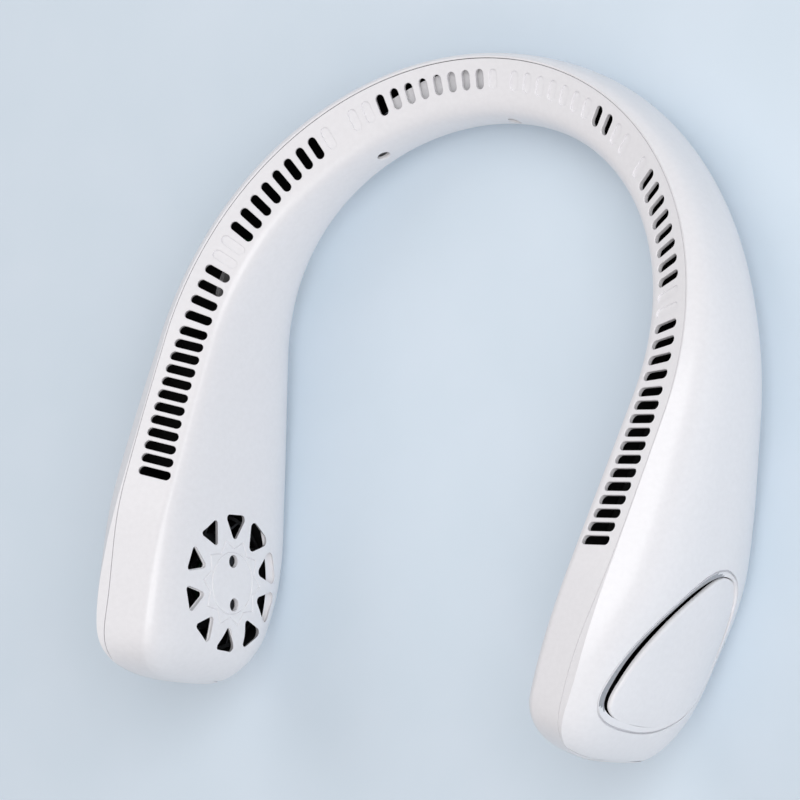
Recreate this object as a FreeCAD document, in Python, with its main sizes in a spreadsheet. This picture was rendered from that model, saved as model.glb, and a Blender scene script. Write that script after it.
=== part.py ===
"""Electric neck fan: a horseshoe of two moulded shells with a blower in each end.

Frame, in millimetres: the fan lies as it is put down, +Z up with the air slots on top, X across the
neck, the arch at +Y and the two open ends at -Y. The origin is under the middle of the bounding box.

The body is described along a path in plan: an arc over the nape, then a straight arm on each side.
A station is a length along that path from the top of the arch, negative on the left side. At a station,
reach is measured from the slot line, positive away from the neck.
"""
import FreeCAD, Part
import Sketcher
import math
import os

Vector = FreeCAD.Vector
Placement = FreeCAD.Placement

SIZES = [
    ("arch_radius", 79.0, "plan radius of the slot line over the nape"),
    ("toe_angle", 4.0, "how far each arm turns inwards, degrees"),
    ("arm_run", 96.1, "straight length of an arm, past the arch"),
    ("slot_height", 20.6, "height of the slot line at the top of the arch"),
    ("slot_tilt", 17.0, "rise of the slot line towards the ends, degrees"),
    ("side_station", 98.0, "station beside the neck"),
    ("elbow_station", 170.0, "station where the arm is thickest"),
    ("paddle_station", 204.0, "station in the blower end"),
    ("inner_reach_arch", 11.0, "slot line to neck face, at the arch"),
    ("inner_reach_side", 8.9, "slot line to neck face, beside the neck"),
    ("inner_reach_elbow", 9.9, "slot line to neck face, at the elbow"),
    ("inner_reach_paddle", 11.8, "slot line to neck face, at the blower"),
    ("outer_reach_arch", 8.0, "slot line to outer face, at the arch"),
    ("outer_reach_side", 13.0, "slot line to outer face, beside the neck"),
    ("outer_reach_elbow", 20.6, "slot line to outer face, at the elbow"),
    ("outer_reach_paddle", 16.6, "slot line to outer face, at the blower"),
    ("bridge_rise", 6.4, "rise of the underside beside the neck"),
    ("rest_land", 0.35, "depth of the flat lands that it rests on"),
    ("level_station", 174.0, "station where the slot line starts to level out"),
    ("level_length", 42.0, "length over which the slot line levels out"),
    ("end_top", 17.6, "length of the rounding of an end along its top"),
    ("end_bottom", 45.0, "length of the rounding of an end along its underside"),
    ("end_outer", 27.0, "length of the rounding of an end along its outer face"),
    ("end_neck", 16.0, "length of the rounding of an end along its neck face"),
    ("end_top_power", 2.9, "squareness of the rounding along the top"),
    ("end_power", 1.8, "squareness of the rounding elsewhere"),
    ("end_middle", 0.38, "height of the furthest point of an end, as a share of its section"),
    ("wall", 1.6, "wall of both shells"),
    ("seam_gap", 0.2, "gap between the two shells"),
    ("fit_gap", 0.2, "gap round pieces that stand in the shells"),
    ("rail_width", 2.9, "slot end to the seam"),
    ("rail_width_end", 0.3, "what is left of the rail in the blower ends, where the seam runs inwards"),
    ("edge_width", 0.7, "seam to the outer edge of the slot strip"),
    ("lip_width", 0.8, "slot end to the start of the inner round"),
    ("strip_slope_arch", 10.0, "fall of the slot strip to the neck at the arch, degrees"),
    ("strip_slope_arm", 15.0, "fall of the slot strip to the neck on the arms, degrees"),
    ("slot_end_station", 166.7, "station of the first air slot of an arm"),
    ("slot_elbow_station", 126.0, "station of the air slot where the arm bends into the arch"),
    ("slot_side_station", 63.8, "station of the last air slot beside the neck"),
    ("slot_arch_station", 3.65, "station of the air slot at the top of the arch"),
    ("slot_width", 2.6, "width of an air slot"),
    ("slot_half_arch", 2.8, "half length of a slot at the arch"),
    ("slot_half_side", 4.1, "half length of a slot beside the neck"),
    ("slot_half_elbow", 5.2, "half length of a slot at the elbow"),
    ("slot_lean", 9.5, "turn of the slots beside the neck and on the arms, degrees"),
    ("slot_bow", 0.9, "how far the slots bow outwards half-way along an arm"),
    ("blind_depth", 0.45, "depth of a blind slot"),
    ("blower_station", 196.2, "station of the blower axis"),
    ("blower_height", 33.5, "height of the blower axis at the neck face"),
    ("blower_tilt", 6.5, "lean of the blower axis, degrees"),
    ("grille_outer", 19.0, "outer radius of the grille openings"),
    ("grille_inner", 12.0, "radius of the inner points of the grille openings"),
    ("grille_half", 4.0, "half width of a grille opening at its outer edge"),
    ("grille_round", 0.8, "corner radius of a grille opening"),
    ("grille_count", 10, "openings in a grille"),
    ("grille_turn", 2.0, "turn of the openings from the line of the arm, degrees"),
    ("grille_screw_offset", 6.2, "grille screws from the blower axis"),
    ("grille_screw_turn", 11.0, "turn of the screw near the end from the line of the arm, degrees"),
    ("seat_radius", 10.2, "motor seat on the inner shell"),
    ("seat_depth", 4.0, "neck face to the motor seat"),
    ("base_radius", 9.4, "motor base"),
    ("base_thick", 1.2, "motor base plate"),
    ("tube_radius", 2.6, "bearing tube, outside"),
    ("tube_length", 7.0, "bearing tube beyond the motor board"),
    ("motor_board_thick", 0.8, "motor circuit board"),
    ("motor_board_radius", 9.0, "motor circuit board"),
    ("bearing_radius", 1.9, "bearing bush, outside"),
    ("shaft_radius", 0.75, "motor shaft"),
    ("shaft_gap", 0.03, "running gap of the shaft"),
    ("stator_radius", 7.0, "stator core"),
    ("stator_thick", 4.6, "stator core"),
    ("stator_lift", 1.4, "motor board to the stator core"),
    ("tooth_width", 2.0, "stator tooth"),
    ("tooth_count", 6, "stator teeth"),
    ("coil_build", 1.0, "thickness of a coil round its tooth"),
    ("coil_start", 1.6, "bearing tube to a coil"),
    ("coil_end", 0.6, "coil to the tip of its tooth"),
    ("coil_over", 0.7, "coil above and below the core"),
    ("air_gap", 0.4, "stator to magnet"),
    ("magnet_thick", 1.0, "magnet ring"),
    ("cup_wall", 0.8, "rotor cup"),
    ("rotor_lift", 1.0, "motor board to the rotor rim"),
    ("rotor_length", 7.2, "rotor cup, rim to top"),
    ("hub_wall", 1.0, "impeller hub"),
    ("impeller_radius", 19.6, "impeller"),
    ("impeller_plate", 1.2, "impeller middle plate"),
    ("impeller_front", 7.0, "neck face to the front of the impeller"),
    ("impeller_depth", 12.6, "front to back of the impeller"),
    ("blade_inner", 14.0, "inner radius of the vanes"),
    ("blade_thick", 0.9, "vane"),
    ("blade_sweep", 14.0, "turn of a vane from root to tip, degrees"),
    ("blade_count", 21, "vanes of an impeller"),
    ("ring_width", 1.0, "end rings of the impeller"),
    ("volute_gap", 1.8, "impeller to scroll wall"),
    ("volute_wall", 1.0, "scroll wall"),
    ("volute_depth", 20.0, "neck face to the free edge of the scroll"),
    ("volute_opening", 100.0, "open part of the scroll, degrees"),
    ("volute_turn", 55.0, "middle of the open part from upright, degrees"),
    ("intake_slit", 5.1, "slit beside the intake cover"),
    ("intake_gap", 0.25, "joint round the intake cover"),
    ("intake_sink", 2.2, "tilt of the intake cover, degrees"),
    ("duct_drop", 15.0, "slot line to the duct floor"),
    ("duct_thick", 1.2, "duct floor"),
    ("duct_margin", 1.0, "main board to the start of the duct floor"),
    ("cell_radius", 9.1, "battery cell"),
    ("cell_length", 34.0, "battery cell"),
    ("cell_reach", 3.0, "slot line to the cell axis"),
    ("cell_height", 18.6, "height of the cell axis"),
    ("cell_margin", 1.5, "end of the arch to the cell"),
    ("saddle_thick", 3.0, "saddle that carries a cell"),
    ("cell_gap", 0.15, "cell in its saddle"),
    ("lead_radius", 0.8, "motor lead"),
    ("lead_height", 7.8, "height of the motor lead"),
    ("loom_radius", 1.1, "wire loom"),
    ("loom_reach", 0.5, "slot line to the loom"),
    ("loom_margin", 2.0, "loom end to the end of the arch, degrees"),
    ("arch_screw_station", 51.5, "outer arch screws from the middle"),
    ("arch_screw_height", 13.0, "height of the middle arch screw"),
    ("arch_screw_rise", 2.9, "outer arch screws above the middle one"),
    ("arch_boss_radius", 2.4, "boss of an arch screw"),
    ("arch_boss_depth", 3.5, "neck face to where the two bosses of an arch screw meet"),
    ("arch_screw_bite", 4.5, "arch screw in its boss"),
    ("screw_radius", 0.9, "self-tapping screw"),
    ("screw_head_radius", 1.6, "screw head"),
    ("screw_head_thick", 1.2, "screw head"),
    ("screw_hole_radius", 1.85, "counterbore of a screw"),
    ("screw_floor", 1.4, "floor under a screw head"),
    ("pilot_margin", 0.9, "pilot hole past the end of its screw"),
    ("overcut", 1.0, "how far a cut runs past the face that it opens"),
    ("board_station", 112.0, "station of the main board, on the left"),
    ("board_reach", 5.8, "slot line to the main board"),
    ("board_thick", 1.2, "main board"),
    ("board_length", 28.0, "main board along the arm"),
    ("board_tall", 13.0, "main board, height"),
    ("board_height", 18.0, "height of the middle of the main board"),
    ("board_screw_offset", 11.4, "board screws from its middle"),
    ("board_screw_drop", 4.0, "board screws below its middle"),
    ("board_boss_radius", 2.1, "boss of a board screw"),
    ("board_screw_bite", 2.7, "board screw in its boss"),
    ("switch_side", 6.0, "push switch"),
    ("switch_tall", 2.1, "push switch"),
    ("plunger_radius", 1.6, "push switch plunger"),
    ("plunger_tall", 0.4, "push switch plunger"),
    ("button_length", 11.0, "power button"),
    ("button_width", 6.0, "power button"),
    ("button_rise", 0.7, "power button above the shell"),
    ("button_gap", 0.2, "running gap of the power button"),
    ("button_travel", 0.8, "travel of the power button"),
    ("collar_width", 1.0, "collar that keeps the button in"),
    ("collar_thick", 0.6, "collar that keeps the button in"),
    ("button_height", 19.5, "height of the power button"),
    ("light_station", 9.6, "light guide beside the button"),
    ("light_length", 5.0, "light guide"),
    ("light_width", 1.6, "light guide"),
    ("usb_length", 9.0, "USB-C socket"),
    ("usb_thick", 3.2, "USB-C socket"),
    ("usb_depth", 7.4, "USB-C socket"),
    ("usb_wall", 0.35, "USB-C socket shell"),
    ("usb_tongue", 0.7, "USB-C socket tongue"),
    ("usb_tongue_side", 1.7, "side of the socket to its tongue"),
    ("usb_tongue_back", 1.1, "mouth of the socket to its tongue"),
    ("usb_offset", 4.0, "USB-C socket from the middle of the board"),
]

# Air slots of a side by number, 1 nearest the end of the arm: through on both sides, through on the left
# side only, and left out. The rest are blind.
OPEN_BOTH = set(range(1, 17)) | set(range(19, 27)) | {31, 32}
OPEN_LEFT = set(range(33, 39))
NO_SLOT = {28}
SLOT_NUMBERS = {
    1: "slot_end_station", 12: "slot_elbow_station", 26: "slot_side_station", 39: "slot_arch_station",
}

doc = FreeCAD.newDocument("neck_fan")
sheet = doc.addObject("Spreadsheet::Sheet", "Sizes")
for row, (alias, value, note) in enumerate(SIZES, start=1):
    sheet.set(f"A{row}", alias)
    sheet.set(f"B{row}", str(value))
    sheet.setAlias(f"B{row}", alias)
    sheet.set(f"C{row}", note)
doc.recompute()

nodes = []


def size(alias):
    """The value of one driving size."""
    return float(sheet.get(alias))


def node(obj, label):
    """Name an object as a sub-part of the fan and keep it for the export."""
    obj.Label = label
    nodes.append(obj)
    return obj


def feature(label, shape, place=None):
    """A sub-part whose shape is made with Part's own functions."""
    obj = doc.addObject("Part::Feature", label)
    obj.Shape = shape
    obj.Placement = place or Placement()
    return node(obj, label)


def bind(obj, **expressions):
    """Bind properties of an object to the sheet."""
    for prop, text in expressions.items():
        obj.setExpression(prop, text)
    return obj


def cylinder(name, radius, height, place):
    """A Part cylinder bound to the sheet, with its axis along the local Z of its place."""
    obj = bind(doc.addObject("Part::Cylinder", name), Radius=radius, Height=height)
    obj.Placement = place
    return obj


def box(name, length, width, height, place):
    """A Part box bound to the sheet, from the corner at its place."""
    obj = bind(doc.addObject("Part::Box", name), Length=length, Width=width, Height=height)
    obj.Placement = place
    return obj


def fuse(name, parts):
    """The union of several objects."""
    obj = doc.addObject("Part::MultiFuse", name)
    obj.Shapes = parts
    return obj


def cut(name, base, tool):
    """One object less another."""
    obj = doc.addObject("Part::Cut", name)
    obj.Base = base
    obj.Tool = tool
    return obj


def shifted(place, x=0.0, y=0.0, z=0.0, turn=0.0):
    """A place moved in its own axes, and turned about its own Z."""
    return place.multiply(Placement(Vector(x, y, z), FreeCAD.Rotation(Vector(0, 0, 1), turn)))


def fixed_profile(body, label, plane_role, points):
    """A closed polygon sketch in a body, each corner held by expressions (across, up)."""
    sketch = body.newObject("Sketcher::SketchObject", label)
    plane = next(f for f in body.Origin.OriginFeatures if f.Role == plane_role)
    sketch.AttachmentSupport = [(plane, "")]
    sketch.MapMode = "FlatFace"
    values = [tuple(evaluate(text) for text in point) for point in points]
    count = len(points)
    for index in range(count):
        first, second = values[index], values[(index + 1) % count]
        sketch.addGeometry(Part.LineSegment(Vector(*first, 0), Vector(*second, 0)), False)
    for index in range(count):
        follower = (index + 1) % count
        sketch.addConstraint(Sketcher.Constraint("Coincident", index, 2, follower, 1))
    for index, point in enumerate(points):
        for kind, axis, text, value in (("DistanceX", -2, point[0], values[index][0]),
                                        ("DistanceY", -1, point[1], values[index][1])):
            if text == "0":
                sketch.addConstraint(Sketcher.Constraint("PointOnObject", index, 1, axis))
                continue
            number = sketch.addConstraint(Sketcher.Constraint(kind, -1, 1, index, 1, value))
            sketch.setExpression(f"Constraints[{number}]", text)
    return sketch


def evaluate(text):
    """The number that a sheet expression gives now."""
    if text == "0":
        return 0.0
    value = sheet.evalExpression(text.replace("Sizes.", ""))
    return float(getattr(value, "Value", value))


def revolved(label, points, place):
    """A turned piece: a profile of (radius, height) corners turned about the local Z."""
    body = doc.addObject("PartDesign::Body", label)
    sketch = fixed_profile(body, f"{label}_profile", "XZ_Plane", points)
    turn = body.newObject("PartDesign::Revolution", f"{label}_turn")
    turn.Profile = sketch
    turn.ReferenceAxis = (sketch, ["V_Axis"])
    turn.Angle = 360.0
    body.Tip = turn
    body.Placement = place
    return body


# The path in plan and the sections of the body.

UP = Vector(0, 0, 1)
ARCH = size("arch_radius")
TOE = math.radians(size("toe_angle"))
ARC_LENGTH = ARCH * (math.pi / 2 + TOE)
PATH_LENGTH = ARC_LENGTH + size("arm_run")
ARM_DEPTH = ARCH * math.sin(TOE) + size("arm_run") * math.cos(TOE)
ARCH_Y = 0.5 * (ARM_DEPTH - ARCH - size("outer_reach_arch"))
RISE = math.tan(math.radians(size("slot_tilt")))
SLOT_MARKS = [(number, size(alias)) for number, alias in SLOT_NUMBERS.items()]
PLACES = ("arch", "side", "elbow", "paddle")
STATIONS = (0.0, size("side_station"), size("elbow_station"), size("paddle_station"))
INNER = tuple(size(f"inner_reach_{place}") for place in PLACES)
OUTER = tuple(size(f"outer_reach_{place}") for place in PLACES)
UNDER = (0.0, size("bridge_rise"), 0.0, 0.0)
SLOT_HALF = tuple(size(f"slot_half_{place}") for place in ("arch", "side", "elbow", "elbow"))
STRIP_SLOPE = tuple(size(f"strip_slope_{place}") for place in ("arch", "arm", "arm", "arm"))
SLOT_LEAN = (0.0, size("slot_lean"), size("slot_lean"), size("slot_lean"))
RAIL = (size("rail_width"), size("rail_width"), size("rail_width"), size("rail_width_end"))

# Shares of the section: from the lip to the neck face with the drop below the lip, then across the whole
# section with the rise above the underside, then from the seam to the outer face with the drop below it.
NECK_CURVE = ((0.30, 0.022), (0.66, 0.09), (0.90, 0.23))
BELLY_CURVE = (
    (0.0, 0.34), (0.07, 0.15), (0.28, 0.025), (0.52, 0.0), (0.80, 0.085), (0.955, 0.27), (1.0, 0.54),
)
SHOULDER_CURVE = ((0.90, 0.22), (0.52, 0.075))
# Sections in an end, as shares of its rounded length from the tip, and their greatest spacing elsewhere.
END_SHARES = (0.006, 0.02, 0.045, 0.08, 0.13, 0.19, 0.26, 0.34, 0.43, 0.54, 0.67, 0.82, 1.0)
LOFT_STEP = 14.0
# Corners of the section where one face of the body gives way to the next.
FACE_BREAKS = (0, 4, 7, 10, 13)
# The strip of an inset section stops this far short of its outer face.
CORNER_MARGIN = 0.3
# Faces along the length of the body and of the seam.
LENGTH_FACES = 8
SEAM_FACES = 8


def along(values, station):
    """A size at a station: a smooth curve through its values at the four named stations."""
    last = len(STATIONS) - 1
    where = min(abs(station), STATIONS[last])
    k = max(i for i in range(last) if STATIONS[i] <= where)
    gap = STATIONS[k + 1] - STATIONS[k]

    def slope(i):
        if i in (0, last):
            return 0.0
        return (values[i + 1] - values[i - 1]) / (STATIONS[i + 1] - STATIONS[i - 1])

    t = (where - STATIONS[k]) / gap
    return ((2 * t**3 - 3 * t**2 + 1) * values[k] + (t**3 - 2 * t**2 + t) * gap * slope(k)
            + (3 * t**2 - 2 * t**3) * values[k + 1] + (t**3 - t**2) * gap * slope(k + 1))


def at(station):
    """The plan point at a station, the outward direction there and the direction towards the end."""
    side = 1 if station >= 0 else -1
    angle = min(abs(station), ARC_LENGTH) / ARCH
    outward = Vector(side * math.sin(angle), math.cos(angle), 0)
    tangent = Vector(side * math.cos(angle), -math.sin(angle), 0)
    point = Vector(0, ARCH_Y, 0) + outward * ARCH + tangent * max(abs(station) - ARC_LENGTH, 0)
    return point, outward, tangent


def slot_line_height(station):
    """Height of the slot line, which rises along the arms and levels out in the ends."""
    past = max(abs(station) - size("level_station"), 0.0)
    run = min(past, size("level_length"))
    climbed = abs(station) - past + run - run**2 / (2 * size("level_length"))
    return size("slot_height") + RISE * (ARCH_Y + ARCH - at(climbed)[0].y)


def seam_reach(station):
    """Reach of the seam between the two shells."""
    return along(SLOT_HALF, station) + along(RAIL, station)


def full_section(station, inset):
    """Corners (reach, height) of the section from the lip round to the seam, before the end is rounded."""
    slope = math.tan(math.radians(along(STRIP_SLOPE, station)))
    half = along(SLOT_HALF, station)
    strip = slot_line_height(station) - inset
    inner = inset - along(INNER, station)
    outer = along(OUTER, station) - inset
    bottom = along(UNDER, station) - size("rest_land") + inset
    lip = -half - size("lip_width")
    seam = half + size("rail_width") + size("edge_width")
    if inset:
        seam = min(seam, outer) - CORNER_MARGIN
    lip_height = strip + lip * slope
    seam_height = strip + seam * slope
    tall = seam_height - bottom
    corners = [(lip, lip_height)]
    corners += [(lip + a * (inner - lip), lip_height - b * tall) for a, b in NECK_CURVE]
    corners += [(inner + a * (outer - inner), bottom + b * tall) for a, b in BELLY_CURVE]
    corners += [(seam + a * (outer - seam), seam_height - b * tall) for a, b in SHOULDER_CURVE]
    return corners + [(seam, seam_height)]


def rounding(station, length, span, power):
    """What the rounding of an end leaves of a distance at a station, from 1 down to 0 at the tip."""
    share = max(abs(station) - (length - size(span)), 0.0) / size(span)
    return (1.0 - share ** size(power)) ** (1.0 / size(power))


def section(station, inset):
    """Corners of the section at a station, with the end of the arm rounded."""
    length = PATH_LENGTH - inset
    corners = full_section(station, inset)
    reaches = [reach for reach, _ in corners]
    heights = [height for _, height in corners]
    centre = 0.5 * (min(reaches) + max(reaches))
    middle = min(heights) + size("end_middle") * (max(heights) - min(heights))
    top = rounding(station, length, "end_top", "end_top_power")
    bottom = rounding(station, length, "end_bottom", "end_power")
    outer = rounding(station, length, "end_outer", "end_power")
    neck = rounding(station, length, "end_neck", "end_power")
    return [(centre + (reach - centre) * (outer if reach > centre else neck),
             middle + (height - middle) * (top if height > middle else bottom)) for reach, height in corners]


def shares_of(corners):
    """How far along its outline each corner of a section lies, from 0 to 1."""
    total = [0.0]
    for first, second in zip(corners, corners[1:]):
        total.append(total[-1] + math.dist(first, second))
    return [length / total[-1] for length in total]


def section_wire(station, inset, knots):
    """The closed section at a station: one curve round the body and the straight slot strip."""
    point, outward, _ = at(station)
    spots = [point + outward * reach + UP * height for reach, height in section(station, inset)]
    curve = Part.BSplineCurve()
    curve.interpolate(Points=spots, Parameters=knots)
    edges = [curve.toShape(knots[first], knots[last]) for first, last in zip(FACE_BREAKS, FACE_BREAKS[1:])]
    return Part.Wire(edges + [Part.LineSegment(spots[-1], spots[0]).toShape()])


def loft_stations(inset):
    """Stations of the sections from the left end to the right end."""
    length = PATH_LENGTH - inset
    start = length - size("end_bottom")
    steps = math.ceil(start / LOFT_STEP)
    body = [start * i / steps for i in range(steps)]
    ends = [length - share * size("end_bottom") for share in reversed(END_SHARES)]
    right = body + ends
    return [-s for s in reversed(right[1:])] + right


def envelope(inset):
    """The whole horseshoe as one solid, its walls moved inwards by an inset."""
    outlines = [shares_of(full_section(station, 0.0)) for station in STATIONS]
    knots = [sum(shares) / len(outlines) for shares in zip(*outlines)]
    wires = [section_wire(station, inset, knots) for station in loft_stations(inset)]
    loft = Part.makeLoft(wires, True, False, False)
    faces = []
    for face in loft.Faces:
        if isinstance(face.Surface, Part.Plane):
            faces.append(face)
            continue
        first, last, start, finish = face.ParameterRange
        steps = [start + (finish - start) * i / LENGTH_FACES for i in range(LENGTH_FACES + 1)]
        faces += [face.Surface.toShape(first, last, low, high) for low, high in zip(steps, steps[1:])]
    skin = Part.makeShell(faces)
    skin.sewShape()
    return Part.makeSolid(skin)


REST_BLOCK = Part.makeBox(2 * PATH_LENGTH, 2 * PATH_LENGTH, ARCH, Vector(-PATH_LENGTH, -PATH_LENGTH, -ARCH))
OUTSIDE = envelope(0.0).cut(REST_BLOCK)
CAVITY = envelope(size("wall"))
INSIDE = envelope(size("wall") + size("fit_gap"))


def neck_region(gap):
    """Everything on the neck side of the seam, moved outwards by a gap, as an upright block."""
    spots = []
    for station in loft_stations(-size("end_bottom")):
        point, outward, _ = at(station)
        spots.append(point + outward * (seam_reach(station) + gap) - UP)
    seam = Part.BSplineCurve()
    seam.interpolate(spots)
    first, last = seam.FirstParameter, seam.LastParameter
    breaks = [first + (last - first) * i / SEAM_FACES for i in range(SEAM_FACES + 1)]
    edges = [seam.toShape(start, finish) for start, finish in zip(breaks, breaks[1:])]
    outline = Part.Wire(edges + [Part.LineSegment(spots[-1], spots[0]).toShape()])
    return Part.Face(outline).extrude(UP * 2 * slot_line_height(PATH_LENGTH))


def stadium(length, width, depth, place):
    """A prism with round ends, centred on its place, from there along the local Z."""
    radius = 0.5 * width
    reach = 0.5 * length - radius
    corners = [Vector(x * reach, y * radius, 0) for x, y in ((-1, -1), (1, -1), (1, 1), (-1, 1))]
    edges = [
        Part.LineSegment(corners[0], corners[1]).toShape(),
        Part.Arc(corners[1], Vector(reach + radius, 0, 0), corners[2]).toShape(),
        Part.LineSegment(corners[2], corners[3]).toShape(),
        Part.Arc(corners[3], Vector(-reach - radius, 0, 0), corners[0]).toShape(),
    ]
    prism = Part.Face(Part.Wire(edges)).extrude(Vector(0, 0, depth))
    prism.Placement = place
    return prism


def axes(origin, x_axis, z_axis):
    """A place with the given local X and Z."""
    z_unit = Vector(z_axis).normalize()
    y_unit = z_unit.cross(x_axis).normalize()
    return Placement(origin, FreeCAD.Rotation(y_unit.cross(z_unit), y_unit, z_unit, "ZXY"))


def strip_place(station):
    """A place on the slot strip: X across the strip, Z out of it."""
    point, outward, tangent = at(station)
    slope = math.tan(math.radians(along(STRIP_SLOPE, station)))
    across = outward + UP * slope
    forward = tangent - UP * (RISE * tangent.y)
    normal = across.cross(forward)
    if normal.z < 0:
        normal = normal * -1
    return axes(point + UP * slot_line_height(station), across, normal)


def slot_stations():
    """Stations of the air slots by number, evenly spaced between the slots whose stations are given."""
    stations = {}
    for (first, start), (last, finish) in zip(SLOT_MARKS, SLOT_MARKS[1:]):
        for number in range(first, last + 1):
            stations[number] = start + (finish - start) * (number - first) / (last - first)
    return stations


def slot_place(station, depth):
    """The floor of an air slot, which leans with its neck end towards the end of the arm."""
    start, finish = size("slot_elbow_station"), size("slot_end_station")
    share = min(max((abs(station) - start) / (finish - start), 0.0), 1.0)
    bow = size("slot_bow") * math.sin(math.pi * share)
    lean = math.copysign(along(SLOT_LEAN, station), station)
    return shifted(strip_place(station), x=bow, z=-depth, turn=lean)


def slot_tools():
    """The open and blind slots of both sides, as prisms."""
    tools = []
    through = 3 * size("wall")
    for number, station in slot_stations().items():
        for side in (1, -1):
            if number in NO_SLOT:
                continue
            is_open = number in OPEN_BOTH or (side < 0 and number in OPEN_LEFT)
            depth = through if is_open else size("blind_depth")
            place = slot_place(side * station, depth)
            length = 2 * along(SLOT_HALF, station)
            tools.append(stadium(length, size("slot_width"), depth + size("wall"), place))
    return tools


# Places that several pieces share.

SIDES = (("right", 1), ("left", -1))


def blower_place(side):
    """The blower axis: origin on the neck face, Z outwards, Y up."""
    point, outward, _ = at(side * size("blower_station"))
    tilt = math.radians(size("blower_tilt"))
    origin = point - outward * along(INNER, size("blower_station")) + UP * size("blower_height")
    z_axis = outward * math.cos(tilt) - UP * math.sin(tilt)
    y_axis = outward * math.sin(tilt) + UP * math.cos(tilt)
    return axes(origin, y_axis.cross(z_axis), z_axis)


def side_place(station, height):
    """A place on the slot line's upright: Z outwards, Y up, with reach along Z."""
    point, outward, _ = at(station)
    return axes(point + UP * height, UP.cross(outward), outward)


def arm_place(side, station, reach, height):
    """A place on an arm: Z along the arm towards its end, Y up."""
    point, outward, tangent = at(side * station)
    return axes(point + outward * reach + UP * height, UP.cross(tangent), tangent)


def rod(radius, start, finish, place):
    """A round bar along the local Z of a place, between two heights."""
    bar = Part.makeCylinder(radius, finish - start, Vector(0, 0, start))
    bar.Placement = place
    return bar


def skin_reach(place, x, y):
    """How far out the body's surface lies along the local Z at a spot beside a place."""
    far = 2 * size("outer_reach_elbow")
    ray = Part.LineSegment(place.multVec(Vector(x, y, 0)), place.multVec(Vector(x, y, far))).toShape()
    inside = OUTSIDE.common(ray)
    return max(place.inverse().multVec(vertex.Point).z for vertex in inside.Vertexes)


BLOWERS = {label: blower_place(side) for label, side in SIDES}
ARCH_SCREWS = [
    side_place(s * size("arch_screw_station"), size("arch_screw_height") + abs(s) * size("arch_screw_rise"))
    for s in (-1, 0, 1)
]
BOARD = side_place(-size("board_station"), size("board_height"))
BOARD_SCREWS = [shifted(BOARD, x=s * size("board_screw_offset"), y=-size("board_screw_drop"))
                for s in (-1, 1)]
BUTTON = shifted(BOARD, y=size("button_height") - size("board_height"))
LIGHT = shifted(BUTTON, x=size("light_station"))
USB_X = -size("usb_offset")
CELL_START = ARC_LENGTH + size("cell_margin")
CELL_END = CELL_START + size("cell_length")
# Longer than anything that it is cut from.
FAR = 60.0
# An edge runs along an axis if its direction has this share of it, and lies at a height if within this of it.
EDGE_ALONG = 0.9
EDGE_NEAR = 0.01

# Corners of the leaf-shaped intake, along the arm and up from the blower axis, and the one opposite the slit.
INTAKE_HINGE = (11.5, -16.0)
INTAKE_OUTLINE = [
    (-26.0, -14.0), (-27.0, -9.5), (-25.3, -1.8), (-18.6, 8.6), (-11.6, 16.0), (-1.7, 23.6), (5.4, 27.2),
    (11.9, 28.1), (14.7, 26.6), (17.5, 21.7), (19.2, 12.6), (19.6, 2.3), (17.1, -7.8), INTAKE_HINGE,
    (0.0, -21.5), (-13.0, -22.0), (-23.0, -18.5),
]


def intake_prism(side, scale, shift):
    """The leaf outline through the outer face, scaled about its middle and shifted away from the slit."""
    point, outward, tangent = at(side * size("blower_station"))
    centre = [sum(values) / len(INTAKE_OUTLINE) for values in zip(*INTAKE_OUTLINE)]
    stations = [size("blower_station") + forward for forward, _ in INTAKE_OUTLINE]
    start = max(seam_reach(station) for station in stations) + size("fit_gap")
    spots = []
    for forward, rise in INTAKE_OUTLINE:
        a = centre[0] + (forward - centre[0]) * scale + shift
        b = centre[1] + (rise - centre[1]) * scale - shift
        spots.append(point + tangent * a + UP * (size("blower_height") + b) + outward * start)
    leaf = Part.BSplineCurve()
    leaf.interpolate(spots, PeriodicFlag=True)
    return Part.Face(Part.Wire(leaf.toShape())).extrude(outward * FAR)


# The two shells.

def grille_openings(side, place):
    """Rounded triangles with their points towards the blower axis."""
    openings = []
    count = int(size("grille_count"))
    outer, inner, half = size("grille_outer"), size("grille_inner"), size("grille_half")
    depth = 2 * size("seat_depth")
    for index in range(count):
        corners = [Vector(inner, 0, 0), Vector(outer, -half, 0), Vector(outer, half, 0), Vector(inner, 0, 0)]
        prism = Part.Face(Part.makePolygon(corners)).extrude(Vector(0, 0, depth))
        upright = [e for e in prism.Edges if abs(e.tangentAt(e.FirstParameter).z) > EDGE_ALONG]
        prism = prism.makeFillet(size("grille_round"), upright)
        turn = 360.0 * index / count - side * size("grille_turn")
        prism.Placement = shifted(place, z=-0.5 * depth, turn=turn)
        openings.append(prism)
    return openings


def grille_screw_places(side, place):
    """The two grille screws of a blower: one towards the arch, one towards the end of the arm."""
    offset = size("grille_screw_offset")
    turn = math.radians(size("grille_screw_turn"))
    near_end = shifted(place, x=-side * offset * math.cos(turn), y=-offset * math.sin(turn))
    return [shifted(place, x=side * offset), near_end]


def screw_path(place, head_floor, finish):
    """A counterbore down to the head's floor, then a clearance hole."""
    clearance = size("screw_radius") + size("fit_gap")
    bore = rod(size("screw_hole_radius"), head_floor - FAR, head_floor, place)
    return bore.fuse(rod(clearance, head_floor - size("overcut"), finish, place))


def pilot(place, start, bite):
    """The hole that a screw cuts its thread in, from the end of its boss."""
    finish = start + size(bite) + size("pilot_margin")
    return rod(size("screw_radius"), start - size("overcut"), finish, place)


def arch_ledge(place_index):
    """Reach of the inner boss's flat end, where the two shells meet at an arch screw."""
    station = (-1, 0, 1)[place_index] * size("arch_screw_station")
    return size("arch_boss_depth") - along(INNER, station)


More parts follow.
